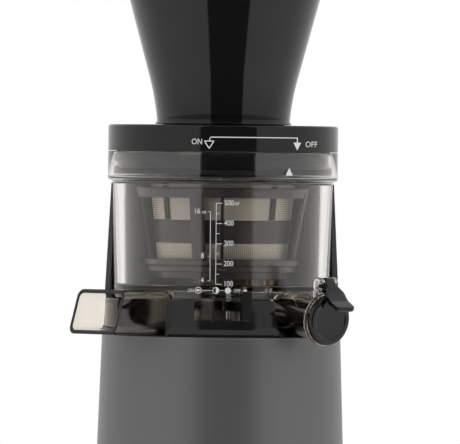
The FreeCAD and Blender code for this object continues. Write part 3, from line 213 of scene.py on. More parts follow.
finish = {
    "housingGrey": solidFinish("housingGrey", (0.125, 0.125, 0.128), 0.10, (0.34, 0.4), metal=0.55,
                               grain=2600, grainDepth=0.03),
    "glossBlack": solidFinish("glossBlack", (0.0045, 0.0045, 0.005), 0.1, (0.05, 0.09), grainDepth=0.0,
                              specular=0.38),
    "satinBlack": solidFinish("satinBlack", (0.007, 0.007, 0.0075), 0.15, (0.10, 0.16), grainDepth=0.0,
                              specular=0.36),
    "linerGrey": solidFinish("linerGrey", (0.16, 0.155, 0.15), 0.1, (0.35, 0.45), metal=0.2, grainDepth=0.02),
    "smokyClear": clearFinish("smokyClear", (0.93, 0.915, 0.90), (0.6, 0.5, 0.34), 8),
    "smokyThick": clearFinish("smokyThick", (0.93, 0.90, 0.86), (0.6, 0.46, 0.2), 75),
    "brushGrey": solidFinish("brushGrey", (0.10, 0.092, 0.085), 0.12, (0.28, 0.38), grainDepth=0.02),
    "bandGrey": solidFinish("bandGrey", (0.075, 0.066, 0.06), 0.12, (0.3, 0.4), grainDepth=0.02),
    "meshSteel": meshFinish("meshSteel", (0.90, 0.84, 0.73), 200, 32),
    "silicone": solidFinish("silicone", (0.012, 0.012, 0.012), 0.2, (0.5, 0.62), grainDepth=0.05),
    "amber": solidFinish("amber", (0.62, 0.37, 0.12), 0.2, (0.15, 0.25), coat=0.4),
    "augerBlack": solidFinish("augerBlack", (0.03, 0.028, 0.027), 0.15, (0.18, 0.28), grainDepth=0.01),
    "steel": solidFinish("steel", (0.55, 0.55, 0.55), 0.12, (0.22, 0.34), metal=1.0, grain=500,
                         grainDepth=0.04),
    "alloy": solidFinish("alloy", (0.42, 0.42, 0.43), 0.15, (0.42, 0.55), metal=0.9, grain=350,
                         grainDepth=0.1),
    "laminate": solidFinish("laminate", (0.22, 0.22, 0.23), 0.2, (0.35, 0.5), metal=0.9, grain=700,
                            grainDepth=0.1),
    "copper": solidFinish("copper", (0.6, 0.26, 0.1), 0.3, (0.2, 0.35), metal=1.0, grain=400,
                          grainDepth=0.2),
    "board": solidFinish("board", (0.03, 0.16, 0.06), 0.25, (0.3, 0.4), grain=400, grainDepth=0.05),
    "gearWhite": solidFinish("gearWhite", (0.72, 0.70, 0.64), 0.08, (0.4, 0.5), grainDepth=0.03),
    "print": solidFinish("print", (0.62, 0.62, 0.64), 0.06, (0.45, 0.55), grainDepth=0.0),
}

cadFinish = {
    "housing_shell": "housingGrey", "column_liner": "linerGrey", "collar_deck": "satinBlack",
    "base_plate": "satinBlack", "rubber_feet": "silicone", "base_screws": "steel", "motor_frame": "alloy",
    "stator_core": "laminate", "stator_coils": "copper", "motor_bearings": "steel", "motor_rotor": "steel",
    "cooling_fan": "satinBlack", "gearbox_case": "alloy", "gearbox_cover": "alloy", "reduction_axle": "steel",
    "gearbox_screws": "steel", "reduction_gear": "gearWhite", "output_gear": "steel", "drive_shaft": "steel",
    "output_bearings": "steel", "shaft_seal": "silicone", "switch_frame": "satinBlack",
    "power_rocker": "glossBlack", "cord_gland": "silicone", "control_board": "board",
    "lid_sensor": "satinBlack", "juice_drum": "smokyClear", "idler_pin": "steel", "lever_pin": "steel",
    "cap_pin": "steel",
    "drum_gasket": "silicone", "juice_cap": "glossBlack", "cap_seal": "silicone",
    "control_lever": "satinBlack", "lever_plug": "silicone", "auger_gear": "amber", "idler_gear": "amber",
    "strainer_frame": "bandGrey",
    "strainer_mesh": "brushGrey", "brush_frame": "brushGrey", "brush_blades": "silicone",
    "auger": "augerBlack", "drum_lid": "glossBlack", "lid_bush": "gearWhite", "lid_gasket": "silicone",
    "hopper": "glossBlack", "throat_seal": "silicone",
}


def dress(piece, material):
    piece.data.materials.clear()
    piece.data.materials.append(finish[material])
    return piece


for name, piece in nodes.items():
    dress(piece, cadFinish[name])
print("finishes made:", len(finish))


# Surfaces
# a grid of points becomes quads; the grid may close on itself along either side
def gridMesh(name, points, material, closeAlong=True, closeAcross=True, smooth=32, uvName=None):
    points = np.asarray(points, float)
    along, across = points.shape[:2]
    index = np.arange(along * across).reshape(along, across)
    rowsNext = np.roll(index, -1, 0) if closeAlong else index[1:]
    rowsHere = index if closeAlong else index[:-1]
    if closeAcross:
        quads = np.stack([rowsHere, np.roll(rowsHere, -1, 1), np.roll(rowsNext, -1, 1), rowsNext], -1)
    else:
        quads = np.stack([rowsHere[:, :-1], rowsHere[:, 1:], rowsNext[:, 1:], rowsNext[:, :-1]], -1)
    mesh = bpy.data.meshes.new(name)
    mesh.from_pydata((points.reshape(-1, 3) * mm).tolist(), [], quads.reshape(-1, 4).tolist())
    if uvName:
        share = np.stack(np.meshgrid(np.arange(along) / along, np.arange(across) / max(1, across - 1),
                                     indexing="ij"), -1).reshape(-1, 2)
        layer = mesh.uv_layers.new(name=uvName)
        corners = np.empty(len(mesh.loops), int)
        mesh.loops.foreach_get("vertex_index", corners)
        layer.data.foreach_set("uv", share[corners].astype(np.float32).ravel())
    return finished(name, mesh, material, smooth)


# welds, turns the faces outwards and shades smooth up to an angle
def finished(name, mesh, material, smooth=32):
    weldGap, thinnest = 2e-6, 1e-7  # metres
    shape = bmesh.new()
    shape.from_mesh(mesh)
    bmesh.ops.remove_doubles(shape, verts=shape.verts, dist=weldGap)
    bmesh.ops.dissolve_degenerate(shape, edges=shape.edges, dist=thinnest)
    bmesh.ops.recalc_face_normals(shape, faces=shape.faces)
    if shape.calc_volume(signed=True) < 0:
        bmesh.ops.reverse_faces(shape, faces=shape.faces)
    shape.to_mesh(mesh)
    shape.free()
    mesh.polygons.foreach_set("use_smooth", np.ones(len(mesh.polygons), bool))
    mesh.set_sharp_from_angle(angle=math.radians(smooth))
    piece = bpy.data.objects.new(name, mesh)
    bpy.context.scene.collection.objects.link(piece)
    return dress(piece, material)


# rounds each corner of a closed (radius, level) outline with an arc of its own radius, which leaves both
# edges at the same reach from the corner
def softOutline(corners, steps=5):
    straightHalf = 1.55  # radians, a corner this flat stays a point
    mostShare = 0.48  # of an edge, for the arc at one of its ends
    spots = np.array([corner[:2] for corner in corners], float)
    result = []
    for here, (spot, corner) in enumerate(zip(spots, corners)):
        size = corner[2] if len(corner) > 2 else 0
        if not size:
            result.append(spot[None])
            continue
        toBack = spots[here - 1] - spot
        toNext = spots[(here + 1) % len(spots)] - spot
        back, ahead = toBack / np.linalg.norm(toBack), toNext / np.linalg.norm(toNext)
        half = math.acos(np.clip(back @ ahead, -1, 1)) / 2
        if half > straightHalf:
            result.append(spot[None])
            continue
        shorter = min(np.linalg.norm(toBack), np.linalg.norm(toNext))
        reach = min(size / math.tan(half), mostShare * shorter)
        centre = spot + (back + ahead) / np.linalg.norm(back + ahead) * reach / math.cos(half)
        first, last = spot + back * reach - centre, spot + ahead * reach - centre
        turn = np.linspace(0, 1, steps)[:, None]
        blend = first * (1 - turn) + last * turn
        result.append(centre + blend / np.linalg.norm(blend, axis=1)[:, None] * np.linalg.norm(first))
    return np.concatenate(result)


# turns an outline about the upright axis: x = r sin a, y = -r cos a
def turned(name, outline, material, segments=160, smooth=32, uvName=None, closed=True):
    angle = np.linspace(-math.pi, math.pi, segments, endpoint=False)[:, None]
    radius, height = outline[:, 0][None], outline[:, 1][None]
    points = np.stack([radius * np.sin(angle), -radius * np.cos(angle), height + 0 * angle], -1)
    return gridMesh(name, points, material, True, closed, smooth, uvName)


# moves points from a radial frame (out along an azimuth, sideways, up) to the juicer's frame
def alongAzimuth(points, azimuth, tilt=0, start=(0, 0)):
    points = np.asarray(points, float)
    lean, turn = math.radians(tilt), math.radians(azimuth)
    out = start[0] + points[..., 0] * math.cos(lean) + points[..., 2] * math.sin(lean)
    up = start[1] - points[..., 0] * math.sin(lean) + points[..., 2] * math.cos(lean)
    side = points[..., 1]
    return np.stack([out * math.sin(turn) + side * math.cos(turn),
                     -out * math.cos(turn) + side * math.sin(turn), up], -1)


# closes a row of loops at both ends, where each end loop shrinks to its middle or to a given side
def withEnds(loops, endSides=None):
    middles = loops.mean(1, keepdims=True)
    if endSides:
        middles[0, 0, 1], middles[-1, 0, 1] = endSides
    return np.concatenate([middles[:1] + 0 * loops[:1], loops, middles[-1:] + 0 * loops[:1]])


# Hopper: radius grows along an arc, then a straight flare; the wall is offset inwards
def buildHopper():
    hopper = {"neck": 39.9, "neckStart": 2.4, "waist": 45.6, "waistRise": 32, "mouth": 75.1, "wall": 2.2,
              "footLip": 0.9, "footLipRise": 1.5, "bead": 1.2, "beadDrop": 4, "rimDrop": 5, "segments": 200}
    foot, high, waistRise = level["hopperFoot"], level["hopperTop"], hopper["waistRise"]
    neck, waist, mouth, wall = hopper["neck"], hopper["waist"], hopper["mouth"], hopper["wall"]
    slope = (mouth - waist) / (high - foot - waistRise)
    rise = np.linspace(0, 1, 40)
    neckZ = foot + hopper["neckStart"] + (waistRise - hopper["neckStart"]) * rise
    lead = slope * waistRise / (waist - neck)
    neckR = neck + (waist - neck) * ((2 - lead) * rise + (lead - 1) * rise ** 2)
    flareZ = np.linspace(foot + waistRise, high - hopper["rimDrop"], 30)[1:]
    flareR = waist + slope * (flareZ - foot - waistRise)
    outside = np.stack([np.concatenate([neckR, flareR]), np.concatenate([neckZ, flareZ])], 1)
    beadOut, lipOut = mouth + hopper["bead"], neck + hopper["footLip"]
    rim = softOutline([(beadOut, high - hopper["beadDrop"], 1.2), (beadOut, high, 1.6),
                       (mouth - wall, high, 1.0), (mouth - wall - 0.9, high - hopper["rimDrop"], 0)])
    inside = (outside - [wall, 0])[::-1]
    footLip = softOutline([(neck - wall, foot, 0.3), (lipOut, foot, 0.4),
                           (lipOut, foot + hopper["footLipRise"], 0.5)])
    outline = np.concatenate([footLip, outside, rim, inside])
    piece = turned("hopperShell", outline, "glossBlack", hopper["segments"])
    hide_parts("hopper")
    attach(piece, "hopper")


# Lid: ring with softened edges, plug with bayonet lugs, throat under the hopper; each lug has its middle
# and its width in degrees
def buildLid():
    lid = {"radius": 69, "edge": 1.6, "throat": 36.4, "throatWall": 2, "throatRise": 4, "recess": 0.5,
           "recessReach": 4.9, "plug": 63.9, "plugWall": 2.4, "plugDepth": 13, "roof": 4.4, "lugReach": 66.0,
           "lugLow": 6.8, "lugHigh": 2.8, "lugs": ((-53.5, 49), (42.3, 42), (126.5, 49), (222.3, 42))}
    high, rim = level["lidTop"], level["rimTop"] + 0.3
    plug, plugIn = lid["plug"], lid["plug"] - lid["plugWall"]
    throat, throatIn = lid["throat"], lid["throat"] - lid["throatWall"]
    foot, roof, recess = rim - lid["plugDepth"], rim + lid["roof"], high - lid["recess"]
    outline = softOutline([
        (plugIn, foot, 0.4), (plug, foot, 0.4), (plug, rim, 0.3), (lid["radius"], rim, 0.25),
        (lid["radius"], high, lid["edge"]), (throat + lid["recessReach"] + 0.3, high, 0.3),
        (throat + lid["recessReach"], recess, 0.2), (throat, recess, 0.1),
        (throat, high + lid["throatRise"], 0.5), (throatIn, high + lid["throatRise"], 0.5),
        (throatIn, roof, 0.2), (plugIn, roof, 0.2),
    ])
    ring = turned("lidRing", outline, "glossBlack", 200)
    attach(ring, "lid")
    lugs = []
    for index, (middle, width) in enumerate(lid["lugs"]):
        lugs.append(arcBlock(f"lidLug{index}", middle - width / 2, middle + width / 2, plug - 0.5,
                             lid["lugReach"], rim - lid["lugLow"], rim - lid["lugHigh"], "glossBlack"))
    joined = joinPieces("lidLugs", lugs)
    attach(joined, "lid")
    spider = buildSpider(lid, rim)
    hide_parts("drum_lid")


# a block between two azimuths, radii and levels, with its long edges softened
def arcBlock(name, start, end, inner, outer, lowZ, highZ, material, edge=0.4, steps=24):
    outline = softOutline([(inner, lowZ, edge), (outer, lowZ, edge), (outer, highZ, edge),
                           (inner, highZ, edge)], 4)
    angle = np.radians(np.linspace(start, end, steps))[:, None]
    radius, height = outline[:, 0][None], outline[:, 1][None]
    points = np.stack([radius * np.sin(angle), -radius * np.cos(angle), height + 0 * angle], -1)
    return gridMesh(name, withEnds(points), material, False, True)


# a node's own mesh, joined up and shaded smooth, under a finish of its own
def smoothCopy(node, body, material, angle=28):
    mesh = nodes[node].data.copy()
    mesh.name = node + "Smooth"
    mesh.transform(nodes[node].matrix_world)
    piece = finished(node + "Smooth", mesh, material, angle)
    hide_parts(node)
    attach(piece, body)
    return piece


# several pieces of one material become one
def joinPieces(name, pieces):
    mesh = bpy.data.meshes.new(name)
    whole = bmesh.new()
    for piece in pieces:
        whole.from_mesh(piece.data)
    whole.to_mesh(mesh)
    whole.free()
    mesh.polygons.foreach_set("use_smooth", np.ones(len(mesh.polygons), bool))
    mesh.set_sharp_from_angle(angle=math.radians(32))
    material = pieces[0].data.materials[0]
    for piece in pieces:
        bpy.data.objects.remove(piece)
    joined = bpy.data.objects.new(name, mesh)
    bpy.context.scene.collection.objects.link(joined)
    joined.data.materials.append(material)
    return joined


# the plate below the throat: a half disc at the back, a boss for the screw's pin and one spoke
def buildSpider(lid, rim):
    spider = {"low": 1.7, "high": 4.3, "edge": 0.3, "bore": 8.2, "boss": 14, "bossTop": 11, "bossLow": 0.2,
              "shoulder": 8.7, "bossHigh": 10.7, "plate": (88, 272), "plateIn": 12, "spoke": 12,
              "spokeIn": 13}
    lowZ, highZ, reach = rim + spider["low"], rim + spider["high"], lid["throat"] - 1.5
    floorIn, floorOut = lid["throat"] - 2.4, lid["plug"] - 1
    bossLow, bossHigh = rim + spider["bossLow"], rim + spider["bossHigh"]
    plate = arcBlock("lidPlate", *spider["plate"], spider["plateIn"], reach, lowZ, highZ, "glossBlack",
                     spider["edge"], 60)
    boss = turned("lidBoss", softOutline([
        (spider["bore"], bossLow, 0.3), (spider["boss"], bossLow, 0.6),
        (spider["boss"], rim + spider["shoulder"], 1.5),
        (spider["bossTop"], bossHigh, 1.2), (spider["bore"], bossHigh, 0.4)]), "glossBlack", 80)
    spoke = arcBlock("lidSpoke", -spider["spoke"], spider["spoke"], spider["spokeIn"], reach, lowZ, highZ,
                     "glossBlack", spider["edge"], 8)
    floor = turned("lidFloor", softOutline([(floorIn, lowZ, 0.2), (floorOut, lowZ, 0.2),
                                            (floorOut, highZ, 0.2), (floorIn, highZ, 0.2)]),
                   "glossBlack", 120)
    whole = joinPieces("lidSpider", [plate, boss, spoke, floor])
    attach(whole, "lid")
    return whole


# Drum: one clear wall from skirt to rim with its floor and hub, walls offset by the plastic's thickness;
# each lip of the rim has its middle and its width in degrees
def buildDrum():
    drum = {"foot": 64.7, "top": 66, "rim": 69, "wall": 2.6, "lens": 6.2, "hub": 21.5, "hubWall": 2.2,
            "bore": 13.2, "boss": 17.6, "floorThick": 2.5, "bossDrop": 4.5, "lipIn": 64.3, "lipDrop": 2.1,
            "lips": ((-4, 38), (83, 26), (176, 38), (263, 26))}
    floor, ledge, rim = level["floor"], level["ledge"], level["rimTop"]
    under, hubLow, skirt = floor - drum["floorThick"], level["seam"] + 0.4, level["skirt"] + 0.3
    foot, top, out, hub = drum["foot"], drum["top"], drum["rim"], drum["hub"]
    footIn, topIn, outIn = foot - drum["wall"], top - drum["wall"], out - drum["wall"]
    hubIn = hub - drum["hubWall"]
    outline = softOutline([
        (drum["bore"], floor - drum["bossDrop"], 0.3), (hubIn, under, 0.5), (hubIn, hubLow, 0.3),
        (hub, hubLow, 0.3), (hub, under, 1.0), (footIn, under, 1.2), (footIn, skirt, 0.6), (foot, skirt, 0.8),
        (top, ledge - 0.2, 1.0), (out, ledge + 1.5, 0.8), (out, rim, 0.3), (outIn, rim, 0.8),
        (outIn, ledge + 2.4, 1.0), (topIn, ledge + 2, 0.8), (topIn, ledge - 0.3, 0.3),
        (top - drum["lens"], ledge - 0.5, 0.8), (foot - drum["lens"], floor, 1.5), (drum["boss"], floor, 0.3),
        (drum["bore"], floor, 0.3),
    ])
    shell = turned("drumShell", outline, "smokyClear", 220)
    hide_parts("juice_drum")
    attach(shell, "drum")
    lips = [arcBlock(f"rimLip{index}", middle - width / 2, middle + width / 2, drum["lipIn"], outIn - 0.05,
                     rim - drum["lipDrop"], rim - 0.1, "smokyClear")
            for index, (middle, width) in enumerate(drum["lips"])]
    lips = joinPieces("rimLips", lips)
    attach(lips, "drum")
    buildChute()
    buildSpout()


# a rectangle with rounded corners, as a loop of (side, up)
def roundedSquare(halfSide, halfUp, radius, steps=7):
    return softOutline([(-halfSide, -halfUp, radius), (halfSide, -halfUp, radius), (halfSide, halfUp, radius),
                        (-halfSide, halfUp, radius)], steps)


# Pulp chute: the square loop is carried out along its azimuth to a slanted mouth, then back inside
def buildChute():
    chute = {"azimuth": -45, "width": 40, "height": 26.4, "rise": 1.5, "wall": 2.3, "start": 58, "hidden": 32,
             "middle": 80, "corner": 4.5, "cornerIn": 2.9, "topReach": 100, "footReach": 108.5}
    halfSide, halfUp = chute["width"] / 2, chute["height"] / 2
    middle = level["seam"] + chute["rise"] + halfUp
    outer = roundedSquare(halfSide, halfUp, chute["corner"])
    inner = roundedSquare(halfSide - chute["wall"], halfUp - chute["wall"], chute["cornerIn"])
    lean = (chute["topReach"] - chute["footReach"]) / chute["height"]

    def loop(shape, out, slanted):
        reach = out + (shape[:, 1] + halfUp) * lean * slanted
        return np.stack([reach, shape[:, 0], middle + shape[:, 1]], 1)

    # how far out, and how much of the mouth's slant
    stations = [(chute["start"] - chute["hidden"], 0), (chute["start"], 0.2), (chute["middle"], 0.6),
                (chute["footReach"] - 1.5, 1)]
    mouthRoll = [(0.0, -0.4), (0.35, 0.0), (0.65, 0.0), (1.0, -0.4)]  # share of the wall, shift outwards
    loops = [loop(outer, *station) for station in stations]
    loops += [loop(outer * (1 - share) + inner * share, chute["footReach"] + shift, 1)
              for share, shift in mouthRoll]
    loops += [loop(inner, *station) for station in stations[::-1]]
    points = alongAzimuth(np.stack(loops), chute["azimuth"])
    piece = gridMesh("pulpChute", points, "smokyThick", True, True, 40)
    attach(piece, "drum")


# Juice spout: an outline turned about the spout's own sloping axis
def turnedAbout(name, outline, material, azimuth, tilt, start, segments=96):
    angle = np.linspace(0, 2 * math.pi, segments, endpoint=False)[:, None]
    radius, along = outline[:, 0][None], outline[:, 1][None]
    points = np.stack([along + 0 * angle, radius * np.sin(angle), radius * np.cos(angle)], -1)
    return gridMesh(name, alongAzimuth(points, azimuth, tilt, start), material)


spout = {"azimuth": 41, "slope": 6.5, "start": 49, "rise": 16.7, "radius": 12.8, "wall": 2.2, "inside": 8,
         "length": 46, "flange": 15.7, "flangeThick": 2.5, "hingeRise": 20.5, "hingeBack": 1.2}


# how far out and how high the sloping axis starts
def spoutStart():
    return spout["start"], level["seam"] + spout["rise"]


# how far out and how high the cap's hinge lies, above the flange
def hingeSpot():
    drop = spout["length"] * math.sin(math.radians(spout["slope"]))
    return (spout["start"] + spout["length"] - spout["hingeBack"],
            level["seam"] + spout["rise"] - drop + spout["hingeRise"])


def buildSpout():
    radius, flange, length, inside = spout["radius"], spout["flange"], spout["length"], spout["inside"]
    bore = radius - spout["wall"]
    outline = softOutline([
        (bore, inside, 0), (radius, inside, 0), (radius, length - spout["flangeThick"] - 0.5, 1.5),
        (flange, length - spout["flangeThick"], 0.6), (flange, length, 0.6), (bore, length, 0.6),
    ])
    tube = turnedAbout("spoutTube", outline, "smokyThick", spout["azimuth"], spout["slope"], spoutStart())
    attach(tube, "drum")
    buildClips()


# Hinge clips: a small outline carried round the hinge's axis, and a foot that rises from the tube
def buildClips():
    clip = {"side": 5.3, "from": 20, "to": 290, "inner": 2.0, "outer": 4.6, "half": 1.4, "footDeep": 2.2,
            "footBack": 2.4}
    inner, outer, half = clip["inner"], clip["outer"], clip["half"]
    reach, height = hingeSpot()
    angle = np.radians(np.linspace(clip["from"], clip["to"], 40))[:, None]
    profile = softOutline([(inner, -half, 0.4), (outer, -half, 0.5), (outer, half, 0.5),
                           (inner, half, 0.4)], 4)
    radius, across = profile[:, 0][None], profile[:, 1][None]
    foot = roundedSquare(half, clip["footDeep"], 0.4, 3)
    rise = np.linspace(height - spout["hingeRise"] + spout["radius"] - 2, height - 2.4, 4)
    clips = []
    for index, side in enumerate((-clip["side"], clip["side"])):
        ring = np.stack([reach + radius * np.cos(angle), side + across + 0 * angle,
                         height + radius * np.sin(angle)], -1)
        block = np.stack([np.stack([reach - clip["footBack"] + foot[:, 1], side + foot[:, 0],
                                    foot[:, 0] * 0 + step], 1) for step in rise])
        for name, loops in ((f"clip{index}", ring), (f"clipFoot{index}", block)):
            points = alongAzimuth(withEnds(loops), spout["azimuth"])
            clips.append(gridMesh(name, points, "smokyClear", False, True))
    clips = joinPieces("hingeClips", clips)
    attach(clips, "drum")


# Cap: a dished disc on a thumb lever whose side outline is swept across its width
def buildCap():
    cap = {"radius": 15, "thick": 4, "gap": 0.3, "edge": 3, "dish": 0.6, "narrow": 2.9, "widen": 4.3,
           "widenFrom": 5.7, "widenOver": 2.6, "taper": 0.10, "endSide": 4.2, "centre": 0.01}
    foot = spout["length"] + cap["gap"]
    high = foot + cap["thick"]
    dish = high - cap["dish"]
    outline = softOutline([(cap["centre"], foot, 0), (cap["radius"], foot, 0.5), (cap["radius"], high, 1.3),
                           (cap["radius"] - cap["edge"], high, 0.6),
                           (cap["radius"] - cap["edge"] - 1, dish, 0.6), (cap["centre"], dish, 0)])
    disc = turnedAbout("capDisc", outline, "glossBlack", spout["azimuth"], spout["slope"], spoutStart())
    reach, height = hingeSpot()
    side = softOutline([
        (0.2, 4.4, 2.0), (3.6, 4.2, 1.5), (6.6, -0.6, 4), (8.8, -4.6, 6), (12.6, -9.4, 6), (18.6, -13.0, 1.0),
        (18.6, -16.0, 1.0), (11.4, -13.6, 6), (7.4, -11.0, 2), (6.4, -14.0, 1), (3.4, -14.0, 0.5),
        (3.4, -4.4, 1.0), (-0.4, -4.0, 2.0), (-4.0, 0.4, 3.0),
    ], 6)
    centre = side.mean(0)
    loops = []
    for step in np.linspace(-1, 1, 21):
        body = centre + (side - centre) * (1 - cap["taper"] * abs(step) ** 6)
        grow = np.clip((np.linalg.norm(body, axis=1) - cap["widenFrom"]) / cap["widenOver"], 0, 1)
        half = cap["narrow"] + cap["widen"] * grow * grow * (3 - 2 * grow)
        loops.append(np.stack([reach + body[:, 0], step * half, height + body[:, 1]], 1))
    loops = withEnds(np.stack(loops), (-cap["endSide"], cap["endSide"]))
    thumb = gridMesh("capThumb", alongAzimuth(loops, spout["azimuth"]), "glossBlack", False, True, 50)
    whole = joinPieces("juiceCap", [disc, thumb])
    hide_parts("juice_cap")
    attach(whole, "cap")


# Seam: the softened upper edge of the housing beside the collar
def buildSeam():
    seam = {"reach": 88, "inner": 70.0, "outer": 71.62, "drop": 1.2, "rise": 0.15, "edge": 0.6}
    edge = arcBlock("seamEdge", -seam["reach"], seam["reach"], seam["inner"], seam["outer"],
                    level["seam"] - seam["drop"], level["seam"] + seam["rise"], "housingGrey",
                    seam["edge"], 90)
    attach(edge, "base")


# Strainer sheets: a cone band with its own map for the holes, doubled to a thin wall
def buildStrainer():
    strainer = {"foot": 38, "top": 43.2, "footDrop": 49.0, "topRise": 2.1, "segments": 240,
                "rows": ((236.9, 249.5), (263.3, 284.5)), "sheetOut": 0.5, "sheetThick": 0.4,
                "band": (249.5, 263.3), "bandThick": 1.1}
    rib = {"azimuths": (-50, 44, 134, 220), "width": 3.9, "thick": 1.4, "out": 0.3, "footRise": 27,
           "topRise": 47, "footZ": 263.5, "topZ": 283.5}
    lowZ, highZ = level["ledge"] - strainer["footDrop"], level["ledge"] + strainer["topRise"]
    slope = (strainer["top"] - strainer["foot"]) / (highZ - lowZ)
    for index, (start, end) in enumerate(strainer["rows"]):
        heights = np.linspace(start, end, 14)
        outer = strainer["foot"] + strainer["sheetOut"] + slope * (heights - lowZ)
        outline = np.concatenate([np.stack([outer, heights], 1),
                                  np.stack([outer - strainer["sheetThick"], heights], 1)[::-1]])
        piece = turned(f"strainerSheet{index}", outline, "meshSteel", strainer["segments"], 40, "sheet")
        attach(piece, "drum")
        if index == 0:
            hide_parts("strainer_mesh")
    start, end = strainer["band"]
    first, last = [strainer["foot"] + slope * (height - lowZ) for height in (start, end)]
    thick = strainer["bandThick"]
    band = turned("strainerBand", softOutline([(first, start, 0.2), (first + thick, start, 0.5),
                                               (last + thick, end, 0.5), (last, end, 0.2)]), "bandGrey", 200)
    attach(band, "drum")
    inner = strainer["foot"] + rib["out"]
    ribs = [leaningBlock(f"rib{index}", azimuth, rib["width"], inner + slope * rib["footRise"], rib["thick"],
                         inner + slope * rib["topRise"], rib["footZ"], rib["topZ"], "silicone")
            for index, azimuth in enumerate(rib["azimuths"])]
    ribs = joinPieces("strainerRibs", ribs)
    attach(ribs, "drum")


# a bar that leans with a cone: width across, radius and level at foot and top, thickness outwards
def leaningBlock(name, azimuth, width, footRadius, thick, topRadius, footZ, topZ, material, steps=8):
    shape = roundedSquare(width / 2, thick / 2, min(0.5, thick * 0.3), 3)
    share = np.linspace(0, 1, steps)[:, None]
    radius = footRadius + (topRadius - footRadius) * share + thick / 2 + shape[:, 1][None]
    height = footZ + (topZ - footZ) * share + 0 * radius
    points = np.stack([radius, shape[:, 0][None] + 0 * share, height], -1)
    return gridMesh(name, alongAzimuth(withEnds(points), azimuth), material, False, True)


# Brush frame: four leaning posts between a flanged foot ring and a top ring, with a plain ring below
def buildBrush():
    brush = {"foot": 44.4, "top": 52.2, "wall": 2.2, "posts": -17.5, "width": 8.0, "footZ": 236.2,
             "topZ": 282.6, "crown": 6, "postFoot": 238, "postDrop": 3}
    top, wall, topZ = brush["top"], brush["wall"], brush["topZ"]
    foot = turned("brushFoot", softOutline([
        (36, 228.2, 0.3), (39, 228.2, 0.5), (39, 232.4, 0.3), (44.2, 232.4, 0.6), (44.2, 235.9, 0.8),
        (46.2, 236.4, 0.6), (46.4, 239.6, 0.9), (44.3, 240.2, 0.3), (42.2, 239.8, 0.3), (41.6, 236.4, 0.3),
        (36, 234.4, 0.3)]), "brushGrey", 200)
    slope = (top - brush["foot"]) / (topZ - brush["footZ"])
    crownIn, crownZ = top - brush["crown"] * slope, topZ - brush["crown"]
    crown = turned("brushCrown", softOutline([(crownIn - wall, crownZ, 0.3), (crownIn, crownZ, 0.5),
                                              (top, topZ, 0.8), (top - wall, topZ, 0.5)]), "brushGrey", 200)
    postIn = brush["foot"] - wall + 0.3
    posts = [leaningBlock(f"post{index}", brush["posts"] + 90 * index, brush["width"], postIn, wall,
                          top - wall, brush["postFoot"], topZ - brush["postDrop"], "brushGrey")
             for index in range(4)]
    whole = joinPieces("brushFrame", [foot, crown] + posts)
    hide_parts("brush_frame")
    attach(whole, "brush")


# Prints: flat shapes wrapped on a round wall: the distance across becomes the sine of the azimuth, and the
# radius follows the wall's taper from its low to its high end
def wrapped(points, radius, lowRadius=None, lowZ=0, highZ=1):
    azimuth = np.arcsin(np.clip(points[:, 0] / radius, -1, 1))
    reach = radius + 0.2 + points[:, 2]
    if lowRadius is not None:
        share = np.clip((points[:, 1] - lowZ) / (highZ - lowZ), 0, 1)
        reach = reach + (lowRadius - radius) * (1 - share)
    return np.stack([reach * np.sin(azimuth), -reach * np.cos(azimuth), points[:, 1]], 1)


# letters: a font outline, given its place on the flat drawing, then wrapped
def letters(text, across, height, size, narrow=0.85):
    data = bpy.data.curves.new("letters", "FONT")
    data.body = text
    data.size = size * mm / 0.7
    data.extrude = 0.03 * mm
    data.resolution_u = 3
    data.align_x = "CENTER"
    holder = bpy.data.objects.new("letters", data)
    bpy.context.scene.collection.objects.link(holder)
    mesh = bpy.data.meshes.new_from_object(holder.evaluated_get(bpy.context.evaluated_depsgraph_get()))
    bpy.data.objects.remove(holder)
    flat = np.empty(len(mesh.vertices) * 3, np.float32)
    mesh.vertices.foreach_get("co", flat)
    points = flat.reshape(-1, 3).astype(float) / mm
    points[:, 0] = points[:, 0] * narrow + across
    points[:, 1] = points[:, 1] + height
    faces = [tuple(face.vertices) for face in mesh.polygons]
    return points, faces


# a thin flat shape through corners; bar and ringShape cut longer shapes into short steps so that they can
# bend
def flatShape(corners, thick=0.03):
    corners = np.asarray(corners, float)
    count = len(corners)
    points = np.concatenate([np.column_stack([corners, np.full(count, thick)]),
                             np.column_stack([corners, np.full(count, -thick)])])
    faces = [tuple(range(count)), tuple(range(2 * count - 1, count - 1, -1))]
    faces += [(i, i + count, (i + 1) % count + count, (i + 1) % count) for i in range(count)]
    return points, faces


def bar(left, right, lowZ, highZ, steps=1):
    edges = np.linspace(left, right, steps + 1)
    return [flatShape([(start, lowZ), (end, lowZ), (end, highZ), (start, highZ)])
            for start, end in zip(edges[:-1], edges[1:])]


# part of a flat ring, in degrees from the right
def ringShape(across, height, outer, inner, start=0, end=360, steps=28):
    angle = np.radians(np.linspace(start, end, steps))
    parts = []
    for here, after in zip(angle[:-1], angle[1:]):
        corners = [(across + r * math.cos(a), height + r * math.sin(a))
                   for r, a in ((inner, here), (outer, here), (outer, after), (inner, after))]
        parts.append(flatShape(corners))
    return parts


def printPiece(name, parts, body, wrap):
    points, faces, offset = [], [], 0
    for spots, polygons in parts:
        points.append(wrap(spots))
        faces += [tuple(index + offset for index in polygon) for polygon in polygons]
        offset += len(spots)
    mesh = bpy.data.meshes.new(name)
    mesh.from_pydata((np.concatenate(points) * mm).tolist(), [], faces)
    piece = bpy.data.objects.new(name, mesh)
    bpy.context.scene.collection.objects.link(piece)
    dress(piece, "print")
    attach(piece, body)


